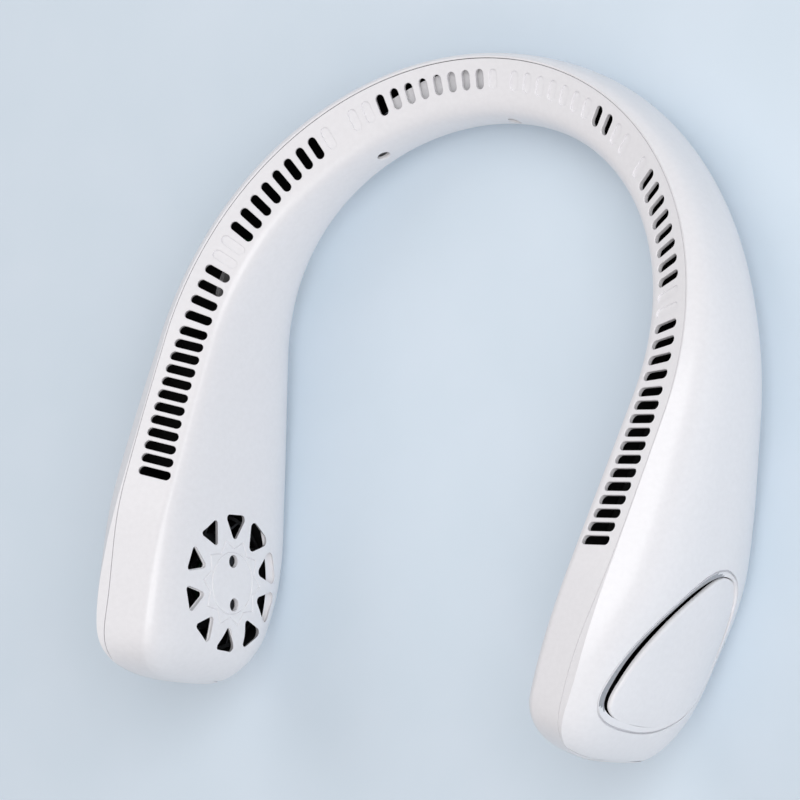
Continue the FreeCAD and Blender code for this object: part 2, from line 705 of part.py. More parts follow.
def make_inner_shell():
    """The neck-side shell: slot strip, grilles, motor seats and arch screw bosses."""
    shell = OUTSIDE.common(neck_region(0.0)).cut(CAVITY)
    bosses = []
    tools = slot_tools()
    for label, side in SIDES:
        place = BLOWERS[label]
        bosses.append(rod(size("seat_radius"), -size("wall"), size("seat_depth"), place).common(OUTSIDE))
        tools += grille_openings(side, place)
        for spot in grille_screw_places(side, place):
            tools.append(screw_path(spot, size("seat_depth") - size("screw_floor"), 2 * size("seat_depth")))
    for index, place in enumerate(ARCH_SCREWS):
        ledge = arch_ledge(index)
        bosses.append(rod(size("arch_boss_radius"), -FAR, ledge, place).common(OUTSIDE))
        tools.append(screw_path(place, ledge - size("screw_floor"), ledge + size("wall")))
    tools.append(usb_cut())
    return shell.fuse(bosses).cut(tools)


def make_outer_shell():
    """The outer shell: intakes, button and light openings, arch and board screw bosses."""
    shell = OUTSIDE.cut(neck_region(size("seam_gap"))).cut(CAVITY)
    bosses = []
    pilots = []
    for index, place in enumerate(ARCH_SCREWS):
        start = arch_ledge(index) + size("seam_gap")
        bosses.append(rod(size("arch_boss_radius"), start, FAR, place).common(OUTSIDE))
        pilots.append(pilot(place, start, "arch_screw_bite"))
    for place in BOARD_SCREWS:
        start = size("board_reach") + size("board_thick")
        bosses.append(rod(size("board_boss_radius"), start, FAR, place).common(OUTSIDE))
        pilots.append(pilot(place, start, "board_screw_bite"))
    gap = size("button_gap")
    openings = [intake_prism(side, 1.0, 0.0) for _, side in SIDES]
    openings.append(stadium(size("button_length") + 2 * gap, size("button_width") + 2 * gap, FAR, BUTTON))
    openings.append(stadium(size("light_length") + gap, size("light_width") + gap, FAR, LIGHT))
    return shell.cut(openings).fuse(bosses).cut(pilots)


def usb_mouth():
    """Height of the USB mouth above the middle of the board, just inside the underside."""
    reach = size("board_reach") - 0.5 * size("usb_thick")
    top = BOARD.multVec(Vector(USB_X, 0, reach))
    ray = Part.LineSegment(top, top - UP * FAR).toShape()
    bottom = min(vertex.Point.z for vertex in OUTSIDE.common(ray).Vertexes)
    return bottom + size("fit_gap") - size("board_height")


def usb_cut():
    """The opening for the USB socket through the underside."""
    gap = size("fit_gap")
    tall = 2 * size("wall")
    hole = Part.makeBox(size("usb_length") + 2 * gap, FAR, size("usb_thick") + 2 * gap)
    x = USB_X - 0.5 * size("usb_length") - gap
    z = size("board_reach") - size("usb_thick") - gap
    hole.Placement = shifted(BOARD, x=x, y=usb_mouth() + tall - FAR, z=z)
    return hole


feature("inner_shell", make_inner_shell())
feature("outer_shell", make_outer_shell())


# The intakes and the air ways.

def make_intake_cover(side):
    """The sunk panel in an intake: a piece of the outer wall, tilted inwards along the slit."""
    point, outward, tangent = at(side * size("blower_station"))
    hinge = point + tangent * INTAKE_HINGE[0] + UP * (size("blower_height") + INTAKE_HINGE[1])
    hinge = hinge + outward * size("outer_reach_paddle")
    turn = side * size("intake_sink")
    leaf = intake_prism(side, 1.0 - size("intake_gap") / size("grille_outer"), 0.0)
    past_slit = intake_prism(side, 1.0, size("intake_slit") / math.sqrt(2))
    skin = OUTSIDE.copy()
    skin.rotate(hinge, tangent + UP, turn)
    hollow = CAVITY.copy()
    hollow.rotate(hinge, tangent + UP, turn)
    return skin.common(leaf).common(past_slit).cut(hollow)


def make_volute(side, place):
    """The scroll wall round an impeller, open towards the arm's duct."""
    inner = size("impeller_radius") + size("volute_gap")
    outer = inner + size("volute_wall")
    ring = rod(outer, -FAR, size("volute_depth"), place).cut(rod(inner, -2 * FAR, FAR, place))
    opening = size("volute_opening")
    start = 90.0 - side * size("volute_turn") - 0.5 * opening
    wedge = Part.makeCylinder(2 * outer, 3 * FAR, Vector(0, 0, -2 * FAR), UP, opening)
    wedge.Placement = shifted(place, turn=start)
    return ring.cut(wedge).common(INSIDE)


def make_duct_floor(side):
    """The floor between the air way and the battery bay of an arm."""
    reach = 2 * ARCH
    slab = Part.makeBox(reach, 3 * ARCH, size("duct_thick"), Vector(0 if side > 0 else -reach, -3 * ARCH, 0))
    top = Vector(0, ARCH_Y + ARCH, size("slot_height") - size("duct_drop") - size("duct_thick"))
    slab.Placement = Placement(top, FreeCAD.Rotation(Vector(1, 0, 0), -size("slot_tilt")))
    front = at(size("board_station") + 0.5 * size("board_length") + size("duct_margin"))[0].y
    back = at(CELL_END)[0].y
    span = Part.makeBox(2 * reach, front - back, 2 * reach, Vector(-reach, back, -reach))
    return INSIDE.common(slab).common(span)


def make_saddles(side):
    """Two saddles across the bay of an arm, which carry the battery cell."""
    axis = arm_place(side, CELL_START, size("cell_reach"), size("cell_height"))
    bed = rod(size("cell_radius") + size("cell_gap"), -FAR, 2 * FAR, axis)
    lead = arm_place(side, CELL_START, size("cell_reach"), size("lead_height"))
    channel = rod(size("lead_radius") + size("fit_gap"), -FAR, 2 * FAR, lead)
    saddles = []
    for start in (2 * size("saddle_thick"), size("cell_length") - 3 * size("saddle_thick")):
        block = Part.makeBox(2 * FAR, FAR, size("saddle_thick"))
        block.Placement = shifted(axis, x=-FAR, y=-FAR, z=start)
        saddles.append(INSIDE.common(block).cut([bed, channel]))
    return Part.makeCompound(saddles)


for label, side in SIDES:
    feature(f"intake_cover_{label}", make_intake_cover(side))
    feature(f"volute_{label}", make_volute(side, BLOWERS[label]))
    feature(f"duct_floor_{label}", make_duct_floor(side))
    feature(f"battery_saddles_{label}", make_saddles(side))


# The motors and impellers, in the blower's own axes with heights from the neck face.

SEAT = "Sizes.seat_depth"
PLATE_TOP = "Sizes.seat_depth + Sizes.base_thick"
BOARD_TOP = f"{PLATE_TOP} + Sizes.motor_board_thick"
TUBE_TOP = f"{BOARD_TOP} + Sizes.tube_length"
STATOR_START = f"{BOARD_TOP} + Sizes.stator_lift"
RIM = f"{BOARD_TOP} + Sizes.rotor_lift"
CUP_TOP = f"{RIM} + Sizes.rotor_length"
CUP_ROOF = f"{CUP_TOP} - Sizes.cup_wall"
MAGNET_IN = "Sizes.stator_radius + Sizes.air_gap"
MAGNET_OUT = f"{MAGNET_IN} + Sizes.magnet_thick"
CUP_RADIUS = f"{MAGNET_OUT} + Sizes.cup_wall"
HUB_RADIUS = f"{CUP_RADIUS} + Sizes.hub_wall"
PLATE_BACK = f"{CUP_TOP} + Sizes.impeller_plate"
FAN_FRONT = "Sizes.impeller_front"
FAN_BACK = "Sizes.impeller_front + Sizes.impeller_depth"


def make_motor_base(label, side, place):
    """The plate and bearing tube that carry a motor, with pilot holes for the grille screws."""
    plate = revolved(f"base_turned_{label}", [
        ("0", SEAT), ("Sizes.base_radius", SEAT), ("Sizes.base_radius", PLATE_TOP),
        ("Sizes.tube_radius", PLATE_TOP), ("Sizes.tube_radius", TUBE_TOP), ("Sizes.bearing_radius", TUBE_TOP),
        ("Sizes.bearing_radius", PLATE_TOP), ("0", PLATE_TOP),
    ], place)
    pilots = []
    for index, spot in enumerate(grille_screw_places(side, place)):
        spot = shifted(spot, z=size("seat_depth") - size("overcut"))
        pilots.append(cylinder(f"base_pilot_{label}_{index}", "Sizes.screw_radius",
                               "Sizes.base_thick + 2 * Sizes.overcut", spot))
    holes = fuse(f"base_pilots_{label}", pilots)
    return node(cut(f"motor_base_{label}", plate, holes), f"motor_base_{label}")


def make_stator(label, place):
    """The stator core: a star of teeth on the bearing tube, and the coils round the teeth."""
    start = evaluate(STATOR_START)
    build = size("coil_build")
    root = size("tube_radius")
    count = int(size("tooth_count"))
    hub = cylinder(f"stator_hub_{label}", "Sizes.tube_radius + Sizes.coil_build", "Sizes.stator_thick",
                   shifted(place, z=start))
    bore = cylinder(f"stator_bore_{label}", "Sizes.tube_radius", "Sizes.stator_thick + 2 * Sizes.overcut",
                    shifted(place, z=start - size("overcut")))
    teeth = []
    coils = []
    for index in range(count):
        turned = shifted(place, turn=360.0 * index / count)
        corner = shifted(turned, x=0.5 * root, y=-0.5 * size("tooth_width"), z=start)
        teeth.append(box(f"tooth_{label}_{index}", "Sizes.stator_radius - Sizes.tube_radius / 2",
                         "Sizes.tooth_width", "Sizes.stator_thick", corner))
        corner = shifted(turned, x=root + size("coil_start"), y=-0.5 * size("tooth_width") - build,
                         z=start - size("coil_over"))
        coils.append(box(f"coil_{label}_{index}",
                         "Sizes.stator_radius - Sizes.tube_radius - Sizes.coil_start - Sizes.coil_end",
                         "Sizes.tooth_width + 2 * Sizes.coil_build",
                         "Sizes.stator_thick + 2 * Sizes.coil_over", corner))
    star = fuse(f"stator_star_{label}", [hub] + teeth)
    node(cut(f"stator_{label}", star, bore), f"stator_{label}")
    wound = cut(f"windings_{label}", fuse(f"coils_{label}", coils), fuse(f"teeth_{label}", teeth))
    node(wound, f"windings_{label}")


def make_impeller(label, place):
    """The impeller: a hub and middle plate with end rings, and swept vanes on both sides of the plate."""
    ring_in = "(Sizes.impeller_radius - Sizes.ring_width)"
    body = revolved(f"impeller_{label}", [
        ("Sizes.shaft_radius", CUP_TOP), (CUP_RADIUS, CUP_TOP), (CUP_RADIUS, f"{RIM} + Sizes.hub_wall"),
        (HUB_RADIUS, f"{RIM} + Sizes.hub_wall"), (HUB_RADIUS, CUP_TOP), ("Sizes.impeller_radius", CUP_TOP),
        ("Sizes.impeller_radius", PLATE_BACK), ("Sizes.shaft_radius", PLATE_BACK),
    ], place)
    tip = f"({ring_in} / 2 + Sizes.impeller_radius / 2)"
    tip_x = f"{tip} * cos(Sizes.blade_sweep * 1 deg)"
    tip_y = f"{tip} * sin(Sizes.blade_sweep * 1 deg)"
    vane_sketch = fixed_profile(body, f"vane_profile_{label}", "XY_Plane", [
        ("Sizes.blade_inner", "0"), (tip_x, tip_y), (tip_x, f"{tip_y} + Sizes.blade_thick"),
        ("Sizes.blade_inner", "Sizes.blade_thick"),
    ])
    vane_sketch.setExpression("AttachmentOffset.Base.z", FAN_FRONT)
    vane = body.newObject("PartDesign::Pad", f"vane_{label}")
    vane.Profile = vane_sketch
    vane.setExpression("Length", "Sizes.impeller_depth")
    vanes = body.newObject("PartDesign::PolarPattern", f"vanes_{label}")
    vanes.Originals = [vane]
    vanes.Axis = (vane_sketch, ["N_Axis"])
    vanes.Angle = 360.0
    vanes.setExpression("Occurrences", "Sizes.blade_count")
    body.Tip = vanes
    for name, start, finish in (("front", FAN_FRONT, f"{FAN_FRONT} + Sizes.ring_width"),
                                ("back", f"{FAN_BACK} - Sizes.ring_width", FAN_BACK)):
        sketch = fixed_profile(body, f"{name}_ring_profile_{label}", "XZ_Plane", [
            (ring_in, start), ("Sizes.impeller_radius", start), ("Sizes.impeller_radius", finish),
            (ring_in, finish),
        ])
        ring = body.newObject("PartDesign::Revolution", f"{name}_ring_{label}")
        ring.Profile = sketch
        ring.ReferenceAxis = (sketch, ["V_Axis"])
        ring.Angle = 360.0
        body.Tip = ring
    body.Placement = place
    return node(body, f"impeller_{label}")


def make_screw(name, place, head_floor, length):
    """A self-tapping screw along the local Z: a head under its floor and a shank beyond it."""
    head = cylinder(f"{name}_head", "Sizes.screw_head_radius", "Sizes.screw_head_thick",
                    shifted(place, z=head_floor - size("screw_head_thick")))
    shank = cylinder(f"{name}_shank", "Sizes.screw_radius", length, shifted(place, z=head_floor))
    return fuse(name, [head, shank])


def screw_group(label, screws):
    """Identical screws as one node of separate solids."""
    group = doc.addObject("Part::Compound", label)
    group.Links = screws
    return node(group, label)


for label, side in SIDES:
    place = BLOWERS[label]
    make_motor_base(label, side, place)
    disc = cylinder(f"motor_disc_{label}", "Sizes.motor_board_radius", "Sizes.motor_board_thick",
                    shifted(place, z=evaluate(PLATE_TOP)))
    hole = cylinder(f"motor_disc_hole_{label}", "Sizes.tube_radius",
                    "Sizes.motor_board_thick + 2 * Sizes.overcut",
                    shifted(place, z=evaluate(PLATE_TOP) - size("overcut")))
    node(cut(f"motor_board_{label}", disc, hole), f"motor_board_{label}")
    make_stator(label, place)
    bush = "Sizes.shaft_radius + Sizes.shaft_gap"
    node(revolved(f"bearing_{label}", [
        (bush, BOARD_TOP), ("Sizes.bearing_radius", BOARD_TOP), ("Sizes.bearing_radius", TUBE_TOP),
        (bush, TUBE_TOP),
    ], place), f"bearing_{label}")
    node(revolved(f"rotor_cup_{label}", [
        ("Sizes.shaft_radius", CUP_ROOF), (MAGNET_OUT, CUP_ROOF), (MAGNET_OUT, RIM), (CUP_RADIUS, RIM),
        (CUP_RADIUS, CUP_TOP), ("Sizes.shaft_radius", CUP_TOP),
    ], place), f"rotor_cup_{label}")
    node(revolved(f"magnet_ring_{label}", [
        (MAGNET_IN, RIM), (MAGNET_OUT, RIM), (MAGNET_OUT, CUP_ROOF), (MAGNET_IN, CUP_ROOF),
    ], place), f"magnet_ring_{label}")
    node(cylinder(f"shaft_{label}", "Sizes.shaft_radius", f"{PLATE_BACK} - ({PLATE_TOP} + Sizes.fit_gap)",
                  shifted(place, z=evaluate(PLATE_TOP) + size("fit_gap"))), f"shaft_{label}")
    make_impeller(label, place)
    screws = [make_screw(f"grille_screw_{label}_{index}", spot, size("seat_depth") - size("screw_floor"),
                         "Sizes.screw_floor + Sizes.base_thick")
              for index, spot in enumerate(grille_screw_places(side, place))]
    screw_group(f"grille_screws_{label}", screws)


# The battery bays and wiring.

for label, side in SIDES:
    node(cylinder(f"battery_{label}", "Sizes.cell_radius", "Sizes.cell_length",
                  arm_place(side, CELL_START, size("cell_reach"), size("cell_height"))), f"battery_{label}")
    node(cylinder(f"motor_lead_{label}", "Sizes.lead_radius", "Sizes.cell_length + 2 * Sizes.cell_margin",
                  arm_place(side, CELL_START - size("cell_margin"), size("cell_reach"), size("lead_height"))),
         f"motor_lead_{label}")

loom = bind(doc.addObject("Part::Torus", "wire_loom"), Radius1="Sizes.arch_radius + Sizes.loom_reach",
            Radius2="Sizes.loom_radius", Angle3="180 + 2 * (Sizes.toe_angle - Sizes.loom_margin)")
loom_height = size("arch_screw_height") - size("arch_boss_radius") - size("fit_gap") - size("loom_radius")
loom.Placement = Placement(Vector(0, ARCH_Y, loom_height),
                           FreeCAD.Rotation(UP, size("loom_margin") - size("toe_angle")))
node(loom, "wire_loom")

screws = []
for index, place in enumerate(ARCH_SCREWS):
    screws.append(make_screw(f"arch_screw_{index}", place, arch_ledge(index) - size("screw_floor"),
                             "Sizes.screw_floor + Sizes.seam_gap + Sizes.arch_screw_bite"))
screw_group("arch_screws", screws)


# The controls on the left arm.

def make_main_board():
    """The main circuit board with holes for its two screws."""
    corner = shifted(BOARD, x=-0.5 * size("board_length"), y=-0.5 * size("board_tall"), z=size("board_reach"))
    panel = box("board_panel", "Sizes.board_length", "Sizes.board_tall", "Sizes.board_thick", corner)
    holes = []
    for index, place in enumerate(BOARD_SCREWS):
        spot = shifted(place, z=size("board_reach") - size("overcut"))
        holes.append(cylinder(f"board_hole_{index}", "Sizes.screw_radius + Sizes.fit_gap",
                              "Sizes.board_thick + 2 * Sizes.overcut", spot))
    return node(cut("main_board", panel, fuse("board_holes", holes)), "main_board")


def make_tact_switch():
    """The push switch on the board under the button."""
    face = size("board_reach") + size("board_thick")
    half = 0.5 * size("switch_side")
    case = box("switch_case", "Sizes.switch_side", "Sizes.switch_side", "Sizes.switch_tall",
               shifted(BUTTON, x=-half, y=-half, z=face))
    plunger = cylinder("switch_plunger", "Sizes.plunger_radius", "Sizes.plunger_tall",
                       shifted(BUTTON, z=face + size("switch_tall")))
    return node(fuse("tact_switch", [case, plunger]), "tact_switch")


def make_power_button():
    """The power button: a round-ended cap through the shell, with a collar behind the wall."""
    start = (size("board_reach") + size("board_thick") + size("switch_tall") + size("plunger_tall")
             + size("button_travel") + size("fit_gap"))
    top = skin_reach(BUTTON, 0, 0) + size("button_rise")
    collar = stadium(size("button_length") + 2 * size("collar_width"),
                     size("button_width") + 2 * size("collar_width"), size("collar_thick"),
                     shifted(BUTTON, z=start))
    cap = stadium(size("button_length"), size("button_width"), top - start, shifted(BUTTON, z=start))
    rim = [e for e in cap.Edges if abs(BUTTON.inverse().multVec(e.CenterOfMass).z - top) < EDGE_NEAR]
    cap = cap.makeFillet(0.5 * size("button_rise"), rim)
    return feature("power_button", cap.fuse(collar).removeSplitter())


def make_light_guide():
    """The clear light guide, flush with the outer face and standing on the board."""
    start = size("board_reach") + size("board_thick")
    guide = stadium(size("light_length"), size("light_width"), FAR, shifted(LIGHT, z=start))
    return feature("light_guide", guide.common(OUTSIDE))


def make_usb_socket():
    """The charging socket on the board, with its mouth in the underside."""
    corner = shifted(BOARD, x=USB_X - 0.5 * size("usb_length"), y=usb_mouth(),
                     z=size("board_reach") - size("usb_thick"))
    wall = size("usb_wall")
    can = box("usb_can", "Sizes.usb_length", "Sizes.usb_depth", "Sizes.usb_thick", corner)
    mouth = box("usb_mouth", "Sizes.usb_length - 2 * Sizes.usb_wall", "Sizes.usb_depth - Sizes.usb_wall",
                "Sizes.usb_thick - 2 * Sizes.usb_wall", shifted(corner, x=wall, y=-wall, z=wall))
    tongue = box("usb_tongue", "Sizes.usb_length - 2 * Sizes.usb_tongue_side",
                 "Sizes.usb_depth - Sizes.usb_wall - Sizes.usb_tongue_back", "Sizes.usb_tongue",
                 shifted(corner, x=size("usb_tongue_side"), y=size("usb_tongue_back"),
                         z=0.5 * (size("usb_thick") - size("usb_tongue"))))
    return node(fuse("usb_socket", [cut("usb_tube", can, mouth), tongue]), "usb_socket")


make_main_board()
make_tact_switch()
make_power_button()
make_light_guide()
make_usb_socket()
screw_group("board_screws", [make_screw(f"board_screw_{index}", place, size("board_reach"),
                                        "Sizes.board_thick + Sizes.board_screw_bite")
                             for index, place in enumerate(BOARD_SCREWS)])


# Check everything, then write one file per sub-part.

doc.recompute()
failed = [obj.Name for obj in doc.Objects if "Invalid" in obj.State or "Error" in obj.State]
failed += [obj.Label for obj in nodes if obj.Shape.isNull() or not obj.Shape.isValid()]
if failed:
    raise RuntimeError(f"these objects did not build: {failed}")
os.makedirs("parts", exist_ok=True)
for obj in nodes:
    obj.Shape.exportStep(f"parts/{obj.Label}.step")
    print(f"{obj.Label}: {len(obj.Shape.Solids)} solid(s), {obj.Shape.Volume:.1f} mm3")
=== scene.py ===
"""Looks of the electric neck fan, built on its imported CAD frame.

The fan lies with its air slots up: X across the neck, the arch at +Y, the open ends at -Y. Sizes in the
classes are millimetres, as a moulder's drawing has them, and MM turns them into Blender's metres.

A station is a length along the collar from the top of the arch, negative on the left. At a station, reach is
measured from the slot line, positive away from the neck.
"""

import logging
import math
from dataclasses import dataclass, field
from enum import Enum

import bmesh
import bpy
import numpy as np
from mathutils import Matrix, Vector
from mathutils.bvhtree import BVHTree

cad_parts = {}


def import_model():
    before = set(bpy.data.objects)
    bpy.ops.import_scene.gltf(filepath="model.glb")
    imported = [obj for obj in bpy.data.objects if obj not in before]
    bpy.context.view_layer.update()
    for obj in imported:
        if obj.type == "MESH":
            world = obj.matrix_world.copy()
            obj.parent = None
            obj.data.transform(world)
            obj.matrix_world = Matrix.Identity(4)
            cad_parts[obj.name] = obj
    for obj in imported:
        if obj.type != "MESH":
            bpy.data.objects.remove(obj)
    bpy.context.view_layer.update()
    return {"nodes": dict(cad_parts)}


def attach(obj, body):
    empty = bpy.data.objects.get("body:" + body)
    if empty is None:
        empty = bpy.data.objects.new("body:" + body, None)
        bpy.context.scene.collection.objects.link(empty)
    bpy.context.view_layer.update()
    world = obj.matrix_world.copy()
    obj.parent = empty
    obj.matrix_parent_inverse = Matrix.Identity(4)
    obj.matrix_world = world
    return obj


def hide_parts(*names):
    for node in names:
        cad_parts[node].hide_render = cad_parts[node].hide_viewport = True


LOG = logging.getLogger("neck_fan")
MM = 0.001
HOUSING = "housing"
UP = np.array((0.0, 0.0, 1.0))
SIDES = {"right": 1, "left": -1}
SAME_POINT_M = 1e-6
NO_AREA_M = 1e-7


# Materials


def linear(hex_colour: str) -> tuple[float, float, float, float]:
    """Turn an sRGB hex colour into linear RGBA.

    Args:
        hex_colour: Six hex digits, with or without a leading hash.

    Returns:
        Linear red, green and blue, and an alpha of 1.
    """
    digits = hex_colour.lstrip("#")
    channels = [int(digits[i:i + 2], 16) / 255 for i in (0, 2, 4)]
    flat = [c / 12.92 if c <= 0.04045 else ((c + 0.055) / 1.055) ** 2.4 for c in channels]
    return (flat[0], flat[1], flat[2], 1.0)


def add_node(tree: bpy.types.NodeTree, kind: str, settings: dict | None = None,
             links: dict | None = None) -> bpy.types.Node:
    """Add a node with its settings and links.

    Args:
        tree: The node tree that gets the node.
        kind: The node's type name.
        settings: Attribute or input values by name.
        links: Output sockets by the name of the input they feed.

    Returns:
        The new node.
    """
    node = tree.nodes.new(kind)
    for name, value in (settings or {}).items():
        if name in node.inputs:
            node.inputs[name].default_value = value
        else:
            setattr(node, name, value)
    for name, socket in (links or {}).items():
        tree.links.new(socket, node.inputs[name])
    return node


class Grain(Enum):
    """How a surface was made, which sets the pattern it shows."""

    MOULDED = "moulded"
    BRUSHED = "brushed"
    WOUND = "wound"
    LAMINATED = "laminated"


# The texture of each grain: its node, its repeats in the width of a grain, and its settings.
PATTERNS = {
    Grain.MOULDED: ("ShaderNodeTexNoise", 1.0, {"Detail": 2.0, "Roughness": 0.45}),
    Grain.BRUSHED: ("ShaderNodeTexNoise", 1.0, {"Detail": 3.0}),
    Grain.WOUND: ("ShaderNodeTexWave", 0.16, {"Distortion": 0.6}),
    Grain.LAMINATED: ("ShaderNodeTexBrick", 0.5, {}),
}
BRUSH_STRETCH = (1.0, 1.0, 0.06)
RAMP = (0.3, 0.7)
BUMP_STRENGTH = 0.6


@dataclass(frozen=True)
class Finish:
    """One real material and its surface.

    The colour drifts a little between colour and shade, the roughness drifts with the same pattern, and the
    bump follows the grain at its real size.
    """

    name: str
    colour: str
    shade: str
    roughness: float
    grain: Grain
    grain_mm: float
    bump_mm: float
    ior: float = 1.5
    metallic: float = 0.0
    drift: float = 0.04
    coat: float = 0.0
    transmission: float = 0.0

    def pattern(self, tree: bpy.types.NodeTree) -> bpy.types.NodeSocket:
        """Make the grain of the surface, from 0 to 1.

        Args:
            tree: The material's node tree.

        Returns:
            The socket that gives the pattern.
        """
        place = add_node(tree, "ShaderNodeTexCoord").outputs["Object"]
        if self.grain is Grain.BRUSHED:
            stretch = add_node(tree, "ShaderNodeMapping", {"Scale": BRUSH_STRETCH}, {"Vector": place})
            place = stretch.outputs["Vector"]
        kind, repeats, settings = PATTERNS[self.grain]
        scale = repeats / (self.grain_mm * MM)
        return add_node(tree, kind, {"Scale": scale, **settings}, {"Vector": place}).outputs["Fac"]

    def build(self) -> bpy.types.Material:
        """Make the Blender material.

        Returns:
            A material whose nodes give the colour, gloss and bump.
        """
        material = bpy.data.materials.new(self.name)
        material.use_nodes = True
        tree = material.node_tree
        shader = tree.nodes["Principled BSDF"]
        shader.inputs["IOR"].default_value = self.ior
        shader.inputs["Metallic"].default_value = self.metallic
        shader.inputs["Coat Weight"].default_value = self.coat
        shader.inputs["Transmission Weight"].default_value = self.transmission
        fac = self.pattern(tree)
        mix = add_node(tree, "ShaderNodeValToRGB", links={"Fac": fac})
        for element, position, tone in zip(mix.color_ramp.elements, RAMP, (self.shade, self.colour)):
            element.position = position
            element.color = linear(tone)
        tree.links.new(mix.outputs["Color"], shader.inputs["Base Color"])
        gloss = add_node(tree, "ShaderNodeMapRange",
                         {"To Min": self.roughness - self.drift, "To Max": self.roughness + self.drift},
                         {"Value": fac})
        tree.links.new(gloss.outputs["Result"], shader.inputs["Roughness"])
        bump = add_node(tree, "ShaderNodeBump", {"Strength": BUMP_STRENGTH, "Distance": self.bump_mm * MM},
                        {"Height": fac})
        tree.links.new(bump.outputs["Normal"], shader.inputs["Normal"])
        return material


# Injection-moulded ABS in white from a polished tool: soft wide highlights and an even, slightly cool white.
WHITE_ABS = Finish("white_abs_moulded", "#EDEDF0", "#EAEAED", 0.33, Grain.MOULDED, 1.4, 0.004, ior=1.53,
                   coat=0.15)
# The same resin in silver grey on bands of the intakes' sloped lips. The grey is painted shade, the shade
# that the slope falls into, and it reads as a soft metallic edge.
LIP_PAINTED_SHADE = Finish("lip_painted_shade", "#A2A3A8", "#97989D", 0.3, Grain.MOULDED, 0.9, 0.006, ior=1.53, coat=0.2)
# The same resin in black with a spark-eroded texture. It is the own colour of the inner mouldings, and
# painted shade on the insides of the shells and panels and on the panels' rims, so the air ways and the slits
# stay dark and dull.
BLACK_ABS_AND_PAINTED_SHADE = Finish("black_abs_and_painted_shade", "#0B0B0C", "#070708", 0.62, Grain.MOULDED, 0.5, 0.02, ior=1.53)
# Polypropylene of the impellers, moulded in one shot: waxier than ABS. Its near black is painted shade, so it
# is lost in the dark behind the grilles.
IMPELLER_PAINTED_SHADE = Finish("pp_impeller_painted_shade", "#151517", "#101012", 0.45, Grain.MOULDED, 0.9, 0.006, ior=1.49)
# Zinc-plated steel of small screws, with turned marks too fine to show drawn at 0.3 mm.
PLATED_STEEL = Finish("zinc_plated_steel", "#A9ABAE", "#8E9093", 0.34, Grain.BRUSHED, 0.3, 0.004,
                      metallic=1.0)
# The same screws darkened for the holes that face the neck. The dark is painted shade in the holes, and only
# a dull grey glint shows in them.
SCREW_STEEL_PAINTED_SHADE = Finish("screw_steel_painted_shade", "#37383B", "#27282A", 0.42, Grain.BRUSHED, 0.3, 0.004, metallic=1.0)
# Pressed electrical steel of the motor, duller and darker than the screws.
CORE_STEEL = Finish("pressed_motor_steel", "#77797C", "#5E6063", 0.4, Grain.BRUSHED, 0.35, 0.005,
                    metallic=1.0)
# Ground steel of the shaft.
SHAFT_STEEL = Finish("ground_steel_shaft", "#C4C6C8", "#AEB0B3", 0.2, Grain.BRUSHED, 0.3, 0.002, metallic=1.0)
# Sintered ferrite: almost black with a grey bloom.
FERRITE = Finish("sintered_ferrite", "#2A2A2C", "#1E1E20", 0.5, Grain.MOULDED, 0.35, 0.012, ior=2.0)
# Enamelled copper wire, 0.3 mm thick, laid side by side.
COPPER = Finish("enamelled_copper_wire", "#B4642F", "#7E3D17", 0.28, Grain.WOUND, 0.3, 0.08, metallic=1.0)
# Sintered bronze bearing, with an oily bloom.
BRONZE = Finish("sintered_bronze", "#A9803F", "#86622B", 0.38, Grain.MOULDED, 0.3, 0.01, metallic=1.0)
# Green solder mask over glass cloth with a 0.5 mm weave.
SOLDER_MASK = Finish("green_solder_mask", "#14532F", "#0F4426", 0.3, Grain.LAMINATED, 0.5, 0.01)
# Stamped steel of the charging socket with a black nickel plate: a dark, smoky metal.
BLACK_NICKEL = Finish("black_nickel_socket", "#2B2B2D", "#222224", 0.34, Grain.BRUSHED, 0.3, 0.003,
                      metallic=1.0)
# Heat-shrunk PVC sleeve of a lithium cell, glossy black as painted shade, so the cell stays dark where it
# shows through the slots.
CELL_SLEEVE_PAINTED_SHADE = Finish("pvc_cell_sleeve_painted_shade", "#101013", "#0C0C0E", 0.22, Grain.MOULDED, 2.0, 0.02, ior=1.53)
# Braided wire sleeve, threads 0.4 mm apart, black as painted shade, so the wires stay dark where they show
# through the openings.
WIRE_SLEEVE_PAINTED_SHADE = Finish("braided_wire_sleeve_painted_shade", "#0E0E10", "#0B0B0C", 0.6, Grain.WOUND, 0.4, 0.1)
# Frosted polycarbonate light guide.
LIGHT_PC = Finish("frosted_polycarbonate", "#F1F5F8", "#E6ECF1", 0.35, Grain.MOULDED, 0.4, 0.005, ior=1.58,
                  transmission=0.5)
# Matt painted studio floor in a pale cold blue.
FLOOR_PAINT = Finish("matt_floor_paint", "#D9E6F1", "#D6E4EF", 0.75, Grain.MOULDED, 30.0, 0.02)


class Palette:
    """The finished materials by finish, each made once."""

    def __init__(self) -> None:
        """Start with no materials."""
        self.made: dict[str, bpy.types.Material] = {}

    def get(self, finish: Finish) -> bpy.types.Material:
        """Give a finish's material.

        Args:
            finish: The finish.

        Returns:
            Its material, built on first use.
        """
        if finish.name not in self.made:
            self.made[finish.name] = finish.build()
        return self.made[finish.name]


# Mesh helpers


def new_object(name: str, vertices: np.ndarray, faces: list,
               materials: list[bpy.types.Material]) -> bpy.types.Object:
    """Make a mesh object from millimetre points.

    Args:
        name: The object's name.
        vertices: Points, one row each, in millimetres.
        faces: Vertex numbers of each face.
        materials: Materials in slot order.

    Returns:
        The linked object, smooth shaded.
    """
    mesh = bpy.data.meshes.new(name)
    mesh.from_pydata((np.asarray(vertices) * MM).tolist(), [], faces)
    for material in materials:
        mesh.materials.append(material)
    mesh.polygons.foreach_set("use_smooth", [True] * len(mesh.polygons))
    mesh.update()
    obj = bpy.data.objects.new(name, mesh)
    bpy.context.scene.collection.objects.link(obj)
    return obj


